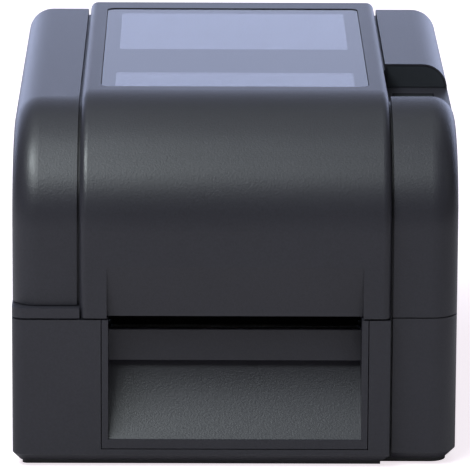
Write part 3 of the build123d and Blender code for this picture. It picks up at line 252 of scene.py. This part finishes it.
def drawn_steel():
    """Drawn and ground bar: bright, with long fine lines along X."""
    return grained(
        "drawn_steel_bar", linear("#a9abad"), 0.5 * MM, roughness=0.28, depth=0.01 * MM, contrast=0.1,
        stretch=(0.05, 1, 1), Metallic=1.0,
    )


def plated_steel():
    """Zinc-plated sheet: grey-white with a cloudy bloom."""
    return grained(
        "zinc_plated_steel", linear("#9fa3a6"), 1.6 * MM, roughness=0.38, depth=0.01 * MM, contrast=0.14,
        Metallic=1.0,
    )


def extruded_aluminium():
    """Extruded fins: pale metal with the die's lines along X."""
    return grained(
        "extruded_aluminium", linear("#b4b7ba"), 0.6 * MM, roughness=0.4, depth=0.02 * MM, contrast=0.1,
        stretch=(0.04, 1, 1), Metallic=1.0,
    )


def phosphated_steel():
    """Motor can: dark phosphate coat with a dry, speckled face."""
    return grained(
        "phosphated_steel", linear("#3a3b3d"), 0.4 * MM, roughness=0.5, depth=0.02 * MM, contrast=0.25,
        Metallic=0.6,
    )


def glazed_ceramic():
    """Print head strip: brown glaze over ceramic, very smooth."""
    return grained(
        "glazed_ceramic", linear("#4a3324"), 3.0 * MM, roughness=0.12, depth=0.002 * MM, contrast=0.08,
        IOR=1.55,
    )


def gold_flash():
    """Contacts with a thin gold plate: warm and bright."""
    return grained(
        "gold_flashed_contact", linear("#c9a44e"), 1.0 * MM, roughness=0.3, depth=0.004 * MM, contrast=0.08,
        Metallic=1.0,
    )


def tinned_shell():
    """Drawn socket shells, tinned: soft mirror with small ripples."""
    return grained(
        "tinned_shell", linear("#b9bbbc"), 1.2 * MM, roughness=0.24, depth=0.01 * MM, contrast=0.08,
        Metallic=1.0,
    )


def socket_nylon():
    """Nylon socket bodies: black with a dull shine."""
    return grained(
        "socket_nylon", linear("#141415"), 0.6 * MM, roughness=0.4, depth=0.01 * MM, contrast=0.15,
        IOR=1.53,
    )


def gloss_acrylic():
    """Smoked acrylic over the notch's rear wall: dark, with a clean reflection."""
    return grained(
        "smoked_acrylic", linear("#34363b"), 4.0 * MM, roughness=0.1, depth=0.002 * MM, contrast=0.05,
        IOR=1.49,
    )


def legend_white():
    """Filled legend on the rocker: matt white."""
    return grained(
        "legend_fill", linear("#d8d8d6"), 0.5 * MM, roughness=0.5, depth=0.004 * MM, contrast=0.04, IOR=1.5,
    )


def solder_mask():
    """Circuit board: green mask, glossy, with paler copper tracks that show through in a square pattern."""
    track_pitch = 9 * MM
    row_shift = 0.37
    material, tree, output = new_material("solder_mask_green")
    place = add_node(tree, "ShaderNodeTexCoord")
    tracks = add_node(
        tree, "ShaderNodeTexBrick",
        {"Scale": per_metre(track_pitch), "Mortar Size": 0.04, "Mortar Smooth": 0.1,
         "Color1": linear("#0d3a24") + (1,), "Color2": linear("#0f4229") + (1,),
         "Mortar": linear("#2a6b45") + (1,)},
        {"Vector": place.outputs["Object"]}, offset=row_shift,
    )
    bump = add_node(
        tree, "ShaderNodeBump", {"Strength": 0.4, "Distance": 0.03 * MM}, {"Height": tracks.outputs["Fac"]}
    )
    shader = add_node(
        tree, "ShaderNodeBsdfPrincipled", {"Roughness": 0.28, "IOR": 1.5},
        {"Base Color": tracks.outputs["Color"], "Normal": bump.outputs["Normal"]},
    )
    tree.links.new(shader.outputs["BSDF"], output.inputs["Surface"])
    return material


def clear_pane(window):
    """Polycarbonate sheet: clear with a cold smoked tint, and a faint wave that softens its reflections."""
    wave_spacing = 40 * MM
    material, tree, output = new_material("polycarbonate_pane")
    place = add_node(tree, "ShaderNodeTexCoord")
    wave = add_node(
        tree, "ShaderNodeTexNoise", {"Scale": per_metre(wave_spacing), "Detail": 1.0},
        {"Vector": place.outputs["Object"]},
    )
    bump = add_node(
        tree, "ShaderNodeBump", {"Strength": 0.2, "Distance": 0.05 * MM}, {"Height": wave.outputs["Fac"]}
    )
    shader = add_node(
        tree, "ShaderNodeBsdfPrincipled",
        {"Base Color": tuple(window.tint) + (1,), "Roughness": 0.08, "IOR": 1.58,
         "Transmission Weight": 1.0},
        {"Normal": bump.outputs["Normal"]},
    )
    tree.links.new(shader.outputs["BSDF"], output.inputs["Surface"])
    return material


def screen_ink(window):
    """Screen-printed ink that wets the pane's back: deep blue-black, with hardly a reflection of its own."""
    return grained(
        "screen_printed_ink", window.ink, 1.5 * MM, roughness=0.34, depth=0.001 * MM, contrast=0.05,
        **{"IOR": 1.5, "Specular IOR Level": 0.12},
    )


def floor_paint(studio):
    """Painted studio floor: pale and matt, white to the camera where nothing shades it."""
    material, tree, output = new_material("painted_studio_floor")
    base = tuple(studio.floor) + (1,)
    paint = add_node(tree, "ShaderNodeBsdfDiffuse", {"Color": base, "Roughness": 0.5})
    lift = add_node(tree, "ShaderNodeEmission", {"Color": base, "Strength": 1.15})
    path = add_node(tree, "ShaderNodeLightPath")
    lifted = add_node(tree, "ShaderNodeAddShader", links={0: paint.outputs[0], 1: lift.outputs[0]})
    mixed = add_node(
        tree, "ShaderNodeMixShader",
        links={0: path.outputs["Is Camera Ray"], 1: paint.outputs[0], 2: lifted.outputs[0]},
    )
    tree.links.new(mixed.outputs[0], output.inputs["Surface"])
    return material


# Making and placing pieces


def finish_nodes(material, *names):
    """Give a finish to construction pieces that keep their shape."""
    for name in names:
        mesh = nodes[name].data
        mesh.materials.clear()
        mesh.materials.append(material)


def piece(name, mesh, material, body, smooth=False):
    """A new piece that rides on a body."""
    thing = bpy.data.objects.new(name, mesh)
    bpy.context.scene.collection.objects.link(thing)
    mesh.materials.clear()
    mesh.materials.append(material)
    if smooth:
        mesh.shade_smooth()
    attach(thing, body)
    return thing


def from_curve(name, curve):
    """Mesh of a curve, which is then thrown away."""
    holder = bpy.data.objects.new(name, curve)
    bpy.context.scene.collection.objects.link(holder)
    bpy.context.view_layer.update()
    mesh = bpy.data.meshes.new_from_object(holder.evaluated_get(bpy.context.evaluated_depsgraph_get()))
    bpy.data.objects.remove(holder)
    mesh.name = name
    return mesh


def from_work(name, work):
    """Mesh of a worked shape, which is then freed."""
    mesh = bpy.data.meshes.new(name)
    work.to_mesh(mesh)
    work.free()
    return mesh


def rounded_loop(half_width, low, high, radius, steps=6):
    """Corner points of a rectangle with round corners, from its half width and its two ends."""
    points = []
    for quarter, (x, y) in enumerate(
        ((half_width - radius, high - radius), (radius - half_width, high - radius),
         (radius - half_width, low + radius), (half_width - radius, low + radius))
    ):
        for step in range(steps + 1):
            turn = math.radians(90 * (quarter + step / steps))
            points.append((x + radius * math.cos(turn), y + radius * math.sin(turn)))
    return points


def circle(radius, steps=40):
    """Corner points of a round outline about the origin."""
    turns = [2 * math.pi * step / steps for step in range(steps)]
    return [(radius * math.cos(turn), radius * math.sin(turn)) for turn in turns]


def cross(reach, half):
    """Corner points of a cross with four like arms about the origin."""
    arm = ((half, half), (half, reach), (-half, reach))
    points = []
    for quarter in range(4):
        turn = Matrix.Rotation(math.radians(90 * quarter), 2)
        points.extend(tuple(turn @ Vector(point)) for point in arm)
    return points


def flat_sheet(name, loops, height, thickness):
    """Thin sheet from an outer loop and the loops of its holes."""
    curve = bpy.data.curves.new(name, "CURVE")
    curve.dimensions = "2D"
    curve.fill_mode = "BOTH"
    curve.extrude = thickness / 2
    for loop in loops:
        spline = curve.splines.new("POLY")
        spline.points.add(len(loop) - 1)
        for point, (x, y) in zip(spline.points, loop):
            point.co = (x, y, 0, 1)
        spline.use_cyclic_u = True
    mesh = from_curve(name, curve)
    mesh.transform(Matrix.Translation((0, 0, height)))
    return mesh


def bars(name, boxes, bevel):
    """Small blocks with softened edges, each from its two corners."""
    work = bmesh.new()
    for low, high in boxes:
        low, high = Vector(low), Vector(high)
        size = Matrix.Diagonal((*(high - low), 1))
        bmesh.ops.create_cube(work, size=1, matrix=Matrix.Translation((low + high) / 2) @ size)
    bmesh.ops.bevel(work, geom=work.edges[:], offset=bevel, segments=2, affect="EDGES", profile=0.5)
    return from_work(name, work)


def bridge(work, first, second):
    """Faces between two rings with the same number of corners."""
    count = len(first)
    for k in range(count):
        after = (k + 1) % count
        work.faces.new((first[k], first[after], second[after], second[k]))


def cross_head_screws(name, places, low, high, head_radius):
    """Upright screws, each with a round head whose cross recess opens downwards."""
    head_top = low + 0.8 * MM
    recess_floor = low + 0.5 * MM
    rim = circle(head_radius)
    shank = circle(1.5 * MM)
    recess = cross(1.6 * MM, 0.32 * MM)
    outlines = (
        (recess, recess_floor), (recess, low), (rim, low), (rim, head_top), (shank, head_top), (shank, high),
    )
    work = bmesh.new()
    for place in places:
        rings = [
            [work.verts.new((place[0] + x, place[1] + y, height)) for x, y in outline]
            for outline, height in outlines
        ]
        for first, second in ((0, 1), (2, 3), (3, 4), (4, 5)):
            bridge(work, rings[first], rings[second])
        work.faces.new(rings[0])
        work.faces.new(rings[5])
        edges = []
        for ring in (rings[1], rings[2]):
            for k, vert in enumerate(ring):
                edges.append(work.edges.get((vert, ring[(k + 1) % len(ring)])))
        bmesh.ops.triangle_fill(work, use_beauty=True, edges=edges)
    bmesh.ops.recalc_face_normals(work, faces=work.faces[:])
    return from_work(name, work)


def coil(name, centre, radius, wire, turns, low, high):
    """Wound spring with closed ends, standing along Z."""
    curve = bpy.data.curves.new(name, "CURVE")
    curve.dimensions = "3D"
    curve.bevel_depth = wire / 2
    curve.bevel_resolution = 3
    curve.use_fill_caps = True
    per_turn = 16
    closed = 0.75
    count = turns * per_turn + 1
    spline = curve.splines.new("NURBS")
    spline.points.add(count - 1)
    for index, point in enumerate(spline.points):
        share = index / (count - 1)
        rise = min(1.0, max(0.0, (share * turns - closed) / (turns - 2 * closed)))
        turn = 2 * math.pi * turns * share
        height = low + wire / 2 + rise * (high - low - wire)
        point.co = (
            centre[0] + radius * math.cos(turn), centre[1] + radius * math.sin(turn), height, 1
        )
    spline.order_u = 3
    spline.use_endpoint_u = True
    return from_curve(name, curve)


def jack_screw(name, centre, radius, bore, front, rear):
    """Hexagonal post along Y with a softened rear rim and a blind bore."""
    sides = 6
    rim = rear + 0.1 * MM
    rim_radius = radius * 0.96
    work = bmesh.new()
    rings = []
    for ring_radius, y in ((radius, front), (radius, rear), (rim_radius, rim), (bore, rim), (bore, front)):
        rings.append([
            work.verts.new((
                centre[0] + ring_radius * math.cos(2 * math.pi * k / sides),
                y,
                centre[1] + ring_radius * math.sin(2 * math.pi * k / sides),
            ))
            for k in range(sides)
        ])
    for first, second in zip(rings, rings[1:]):
        bridge(work, first, second)
    work.faces.new(rings[-1])
    work.faces.new(reversed(rings[0]))
    bmesh.ops.recalc_face_normals(work, faces=work.faces[:])
    return from_work(name, work)


# One operator for each piece or group of like pieces


class PRINTER_OT_shell(bpy.types.Operator):
    """Finish the outer mouldings: case, insert, lid, left cover and tower"""

    bl_idname = "printer.shell"
    bl_label = "Outer Mouldings"

    def execute(self, context):
        case = context.scene.printer_case
        finish_nodes(
            moulded_abs(case), "lower_case", "front_panel", "lid_cover", "shoulder_cover", "tower_cover"
        )
        finish_nodes(polished_abs(case), "feed_button", "power_rocker")
        finish_nodes(gloss_acrylic(), "status_window")
        return {"FINISHED"}


class PRINTER_OT_window(bpy.types.Operator):
    """Finish the lid's pane and print its border"""

    bl_idname = "printer.window"
    bl_label = "Lid Window"

    def execute(self, context):
        window = context.scene.printer_window
        finish_nodes(clear_pane(window), "window_pane")
        low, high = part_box("window_pane")
        margin = 0.4 * MM
        corner = 3.6 * MM
        zone_corner = 1.0 * MM
        ink_thickness = 0.04 * MM
        border = rounded_loop(high.x - margin, low.y + margin, high.y - margin, corner)
        rear_zone = rounded_loop(
            window.rear_zone_half, window.rear_zone_front, window.rear_zone_rear, zone_corner
        )
        front_zone = rounded_loop(
            window.front_zone_half, window.front_zone_front, window.front_zone_rear, zone_corner
        )
        mesh = flat_sheet(
            "window_border_print", (border, rear_zone, front_zone), low.z + window.ink_depth, ink_thickness
        )
        piece("window_border_print", mesh, screen_ink(window), "lid")
        return {"FINISHED"}


class PRINTER_OT_media_bay(bpy.types.Operator):
    """Finish the inner mouldings, the edge guides, roll arms and hubs"""

    bl_idname = "printer.media_bay"
    bl_label = "Media Bay"

    def execute(self, context):
        finish_nodes(
            moulded_chassis(context.scene.printer_case), "media_chassis", "lid_frame", "bottom_plate",
            "edge_guide_left", "edge_guide_right", "roll_arm_left", "roll_arm_right", "roll_hub_left",
            "roll_hub_right", "supply_hub_left", "supply_hub_right", "rewind_hub_left",
            "rewind_hub_right", "release_lever",
        )
        finish_nodes(socket_nylon(), "media_sensor")
        return {"FINISHED"}


class PRINTER_OT_drive(bpy.types.Operator):
    """Finish the gears, racks, shafts, roller and motor"""

    bl_idname = "printer.drive"
    bl_label = "Drive"

    def execute(self, context):
        mechanism = context.scene.printer_mechanism
        finish_nodes(
            acetal(mechanism.gear), "platen_gear", "reduction_gear", "motor_pinion", "ribbon_gear",
            "rewind_gear", "edge_rack_left", "edge_rack_right", "edge_pinion", "roll_rack_left",
            "roll_rack_right", "roll_pinion", "platen_bushings",
        )
        finish_nodes(ground_rubber(mechanism.rubber), "platen_roller", "rubber_feet")
        finish_nodes(drawn_steel(), "platen_shaft", "hinge_rod", "latch_shaft", "motor_shaft")
        finish_nodes(
            plated_steel(), "latch_pawls", "tear_bar", "motor_bracket", "head_bracket", "interface_plate"
        )
        finish_nodes(phosphated_steel(), "drive_motor")
        return {"FINISHED"}


class PRINTER_OT_screws(bpy.types.Operator):
    """Cut the cross recesses of the four screws in the bottom plate"""

    bl_idname = "printer.screws"
    bl_label = "Bottom Screws"

    def execute(self, context):
        low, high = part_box("case_screws")
        head_radius = 2.8 * MM
        places = [
            (x, y) for x in (low.x + head_radius, high.x - head_radius)
            for y in (low.y + head_radius, high.y - head_radius)
        ]
        mesh = cross_head_screws("bottom_screws", places, low.z, high.z, head_radius)
        screws = piece("bottom_screws", mesh, plated_steel(), "base")
        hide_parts("case_screws")
        return {"FINISHED"}


class PRINTER_OT_head(bpy.types.Operator):
    """Finish the print head and wind its two springs"""

    bl_idname = "printer.head"
    bl_label = "Print Head"

    def execute(self, context):
        mechanism = context.scene.printer_mechanism
        finish_nodes(glazed_ceramic(), "print_head")
        finish_nodes(extruded_aluminium(), "head_sink")
        low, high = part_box("head_springs")
        outer = (high.y - low.y) / 2
        wound = outer - mechanism.spring_wire / 2
        middle = (low.y + high.y) / 2
        steel = drawn_steel()
        for word, x in (("left", low.x + outer), ("right", high.x - outer)):
            mesh = coil(
                f"head_spring_{word}", (x, middle), wound, mechanism.spring_wire,
                mechanism.spring_turns, low.z, high.z,
            )
            spring = piece(f"head_spring_{word}", mesh, steel, "head", smooth=True)
            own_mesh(spring)
        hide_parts("head_springs")
        return {"FINISHED"}


def add_network_contacts(material):
    """Eight flat contacts in the network socket."""
    count = 8
    pitch = 1.02 * MM
    half = 0.25 * MM
    low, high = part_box("network_port")
    middle = (low.x + high.x) / 2
    contacts = []
    for index in range(count):
        x = middle + (index - (count - 1) / 2) * pitch
        contacts.append((
            (x - half, low.y + 9.5 * MM, low.z + 9.4 * MM),
            (x + half, high.y - 3.0 * MM, low.z + 9.8 * MM),
        ))
    mesh = bars("network_contacts", contacts, 0.05 * MM)
    piece("network_contacts", mesh, material, "base", smooth=True)


def add_usb_tongue(material):
    """Contact tongue in the USB socket."""
    half_width = 2.8 * MM
    half_height = 1.6 * MM
    low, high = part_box("usb_port")
    middle = (low.x + high.x) / 2
    centre_height = (low.z + high.z) / 2
    tongue = [(
        (middle - half_width, high.y - 11.9 * MM, centre_height - half_height),
        (middle + half_width, high.y - 1.4 * MM, centre_height + half_height),
    )]
    piece("usb_tongue", bars("usb_tongue", tongue, 0.2 * MM), material, "base", smooth=True)


def add_jack_screws():
    """Two jack screws beside the serial socket."""
    inset = 3.0 * MM
    height = 1.2 * MM
    radius = 2.6 * MM
    bore = 1.3 * MM
    low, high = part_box("serial_port")
    centre_height = (low.z + high.z) / 2
    for word, x in (("left", low.x + inset), ("right", high.x - inset)):
        name = f"serial_jack_screw_{word}"
        mesh = jack_screw(name, (x, centre_height), radius, bore, high.y, high.y + height)
        piece(name, mesh, plated_steel(), "base")


def add_rocker_legends():
    """Legends on the tilted rocker: a ring on the half that is pressed for off, a bar on the other."""
    tilt = math.radians(8)
    bar_half = 0.25 * MM
    bar_reach = 1.4 * MM
    height = 0.01 * MM
    thickness = 0.06 * MM
    low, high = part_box("power_rocker")
    face = (high.z - low.z) / math.cos(tilt)
    centre = Vector(((low.x + high.x) / 2, high.y - face / 2 * math.sin(tilt), (low.z + high.z) / 2))
    axes = Matrix(((-1, 0, 0), (0, -math.sin(tilt), math.cos(tilt)), (0, math.cos(tilt), math.sin(tilt))))
    on_face = Matrix.Translation(centre) @ axes.transposed().to_4x4()
    bar = [(-bar_half, -bar_reach), (bar_half, -bar_reach), (bar_half, bar_reach), (-bar_half, bar_reach)]
    ring = (circle(1.5 * MM), circle(1.05 * MM))
    white = legend_white()
    for name, loops, side in (("rocker_ring", ring, 1), ("rocker_bar", (bar,), -1)):
        mesh = flat_sheet(name, loops, height, thickness)
        mesh.transform(on_face @ Matrix.Translation((0, side * face / 4, 0)))
        piece(name, mesh, white, "rocker")


class PRINTER_OT_sockets(bpy.types.Operator):
    """Finish the rear sockets and add their contacts, tongue, jack screws and rocker legends"""

    bl_idname = "printer.sockets"
    bl_label = "Rear Sockets"

    def execute(self, context):
        nylon = socket_nylon()
        finish_nodes(nylon, "power_switch", "dc_jack")
        finish_nodes(tinned_shell(), "usb_port", "network_port", "serial_port")
        add_network_contacts(gold_flash())
        add_usb_tongue(nylon)
        add_jack_screws()
        add_rocker_legends()
        return {"FINISHED"}


class PRINTER_OT_boards(bpy.types.Operator):
    """Finish the two circuit boards"""

    bl_idname = "printer.boards"
    bl_label = "Circuit Boards"

    def execute(self, context):
        finish_nodes(solder_mask(), "main_board", "button_board")
        return {"FINISHED"}


# Floor, lamps, world and camera


def softbox(name, place, target, width, height, radiance, tint):
    """Rectangular lamp of a given radiance that faces its target, hidden from the camera itself."""
    lamp = bpy.data.lights.new(name, "AREA")
    lamp.shape = "RECTANGLE"
    lamp.size = width
    lamp.size_y = height
    lamp.energy = radiance * math.pi * width * height
    lamp.color = tint
    thing = bpy.data.objects.new(name, lamp)
    bpy.context.scene.collection.objects.link(thing)
    thing.location = place
    thing.rotation_mode = "QUATERNION"
    thing.rotation_quaternion = (Vector(target) - Vector(place)).to_track_quat("-Z", "Y")
    thing.visible_camera = False


def add_floor(studio):
    """Flat floor that reaches past every view."""
    reach = 9.0
    corners = [(-reach, -reach, 0), (reach, -reach, 0), (reach, reach, 0), (-reach, reach, 0)]
    mesh = bpy.data.meshes.new("studio_floor")
    mesh.from_pydata(corners, [], [(0, 1, 2, 3)])
    mesh.materials.append(floor_paint(studio))
    ground = bpy.data.objects.new("studio_floor", mesh)
    bpy.context.scene.collection.objects.link(ground)


def add_lamps(studio):
    """Strong softboxes at the left with weak twins at the right, and a cold strip behind."""
    middle = (0, 0, 0.1)
    cool = (0.90, 0.985, 1.0)
    side_radiance = studio.forward * studio.weak / 3
    for word, x, share in (("left", -0.42, 1.0), ("right", 0.28, studio.weak)):
        softbox(f"overhead_{word}", (x, -0.28, 1.35), middle, 0.62, 0.8, studio.overhead * share, cool)
        softbox(f"forward_{word}", (x, -0.78, 1.07), middle, 0.62, 0.53, studio.forward * share, cool)
    softbox("right_side", (1.2, -0.3, 0.75), middle, 0.5, 0.6, side_radiance, cool)
    softbox("small_left", (-0.66, -0.45, 1.22), middle, 0.3, 0.34, studio.edge, cool)
    softbox("ceiling", (0.0, 0.50, 1.45), middle, 1.6, 0.8, studio.ceiling, cool)

    # The strip stands in three bands: the flat tops and the pane mirror it
    cold = (0.61, 0.69, 1.0)
    strip_y = 1.5
    strip_width = 3.0
    for word, low, high, share in (
        ("low", -0.05, 0.38, 1.9), ("middle", 0.38, 0.60, 0.86), ("high", 0.60, 1.1, 0.5),
    ):
        height = (low + high) / 2
        softbox(
            f"rear_{word}", (0, strip_y, height), (0, 0, height), strip_width, high - low,
            studio.rear * share, cold,
        )


def add_world(studio):
    """Even weak light all round, white to the camera itself."""
    world = bpy.data.worlds.new("studio_world")
    world.use_nodes = True
    tree = world.node_tree
    tree.nodes.clear()
    output = add_node(tree, "ShaderNodeOutputWorld")
    white = (1, 1, 1, 1)
    even = add_node(tree, "ShaderNodeBackground", {"Color": white, "Strength": studio.fill})
    seen = add_node(tree, "ShaderNodeBackground", {"Color": white, "Strength": 1.0})
    path = add_node(tree, "ShaderNodeLightPath")
    mixed = add_node(
        tree, "ShaderNodeMixShader",
        links={0: path.outputs["Is Camera Ray"], 1: even.outputs[0], 2: seen.outputs[0]},
    )
    tree.links.new(mixed.outputs[0], output.inputs["Surface"])
    bpy.context.scene.world = world


def add_camera():
    """Camera fitted to the photograph: a long lens a little above the printer."""
    elevation = math.radians(13.70)
    yaw = math.radians(-0.455)
    roll = math.radians(0.285)
    distance = 2.450
    target = Vector((0.855 * MM, 0, 76.14 * MM))
    focal_share = 10.805
    sensor = 36.0
    back = Vector((
        math.sin(yaw) * math.cos(elevation), -math.cos(yaw) * math.cos(elevation), math.sin(elevation)
    ))
    right = Vector((math.cos(yaw), math.sin(yaw), 0))
    up = back.cross(right)
    tilted_right = math.cos(roll) * right + math.sin(roll) * up
    tilted_up = back.cross(tilted_right)
    camera = bpy.data.cameras.new("photo_camera")
    camera.sensor_width = sensor
    camera.lens = sensor * focal_share
    camera.clip_end = 50
    holder = bpy.data.objects.new("photo_camera", camera)
    bpy.context.scene.collection.objects.link(holder)
    turned = Matrix((tilted_right, tilted_up, back)).transposed().to_4x4()
    holder.matrix_world = Matrix.Translation(target + back * distance) @ turned
    bpy.context.scene.camera = holder


class PRINTER_OT_studio(bpy.types.Operator):
    """Set the pale floor, the lamps and the camera"""

    bl_idname = "printer.studio"
    bl_label = "Studio"

    def execute(self, context):
        studio = context.scene.printer_studio
        add_floor(studio)
        add_lamps(studio)
        add_world(studio)
        add_camera()
        context.scene.view_settings.view_transform = "Standard"
        return {"FINISHED"}


class PRINTER_PT_finishes(bpy.types.Panel):
    """Finishes, small pieces and studio of the label printer"""

    bl_label = "Label Printer"
    bl_idname = "PRINTER_PT_finishes"
    bl_space_type = "VIEW_3D"
    bl_region_type = "UI"
    bl_category = "Printer"

    def draw(self, context):
        for title, group, operators in PANEL_ROWS:
            box = self.layout.box()
            box.label(text=title)
            settings = getattr(context.scene, group)
            for name in settings.__annotations__:
                box.prop(settings, name)
            for operator in operators:
                box.operator(operator.bl_idname)


PANEL_ROWS = (
    ("Case", "printer_case", (PRINTER_OT_shell, PRINTER_OT_media_bay)),
    ("Window", "printer_window", (PRINTER_OT_window,)),
    ("Mechanism", "printer_mechanism",
     (PRINTER_OT_drive, PRINTER_OT_screws, PRINTER_OT_head, PRINTER_OT_sockets, PRINTER_OT_boards)),
    ("Studio", "printer_studio", (PRINTER_OT_studio,)),
)
SETTINGS = {
    "printer_case": CaseSettings,
    "printer_window": WindowSettings,
    "printer_mechanism": MechanismSettings,
    "printer_studio": StudioSettings,
}
OPERATORS = (
    PRINTER_OT_shell, PRINTER_OT_window, PRINTER_OT_media_bay, PRINTER_OT_drive, PRINTER_OT_screws,
    PRINTER_OT_head, PRINTER_OT_sockets, PRINTER_OT_boards, PRINTER_OT_studio,
)


def register():
    for item in (*SETTINGS.values(), *OPERATORS, PRINTER_PT_finishes):
        bpy.utils.register_class(item)
    for name, group in SETTINGS.items():
        setattr(bpy.types.Scene, name, PointerProperty(type=group))


def unregister():
    for name in SETTINGS:
        delattr(bpy.types.Scene, name)
    for item in reversed((*SETTINGS.values(), *OPERATORS, PRINTER_PT_finishes)):
        bpy.utils.unregister_class(item)


def main():
    """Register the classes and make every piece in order."""
    register()
    bpy.ops.printer.shell()
    bpy.ops.printer.window()
    bpy.ops.printer.media_bay()
    bpy.ops.printer.drive()
    bpy.ops.printer.screws()
    bpy.ops.printer.head()
    bpy.ops.printer.sockets()
    bpy.ops.printer.boards()
    bpy.ops.printer.studio()


if __name__ == "__main__":
    main()
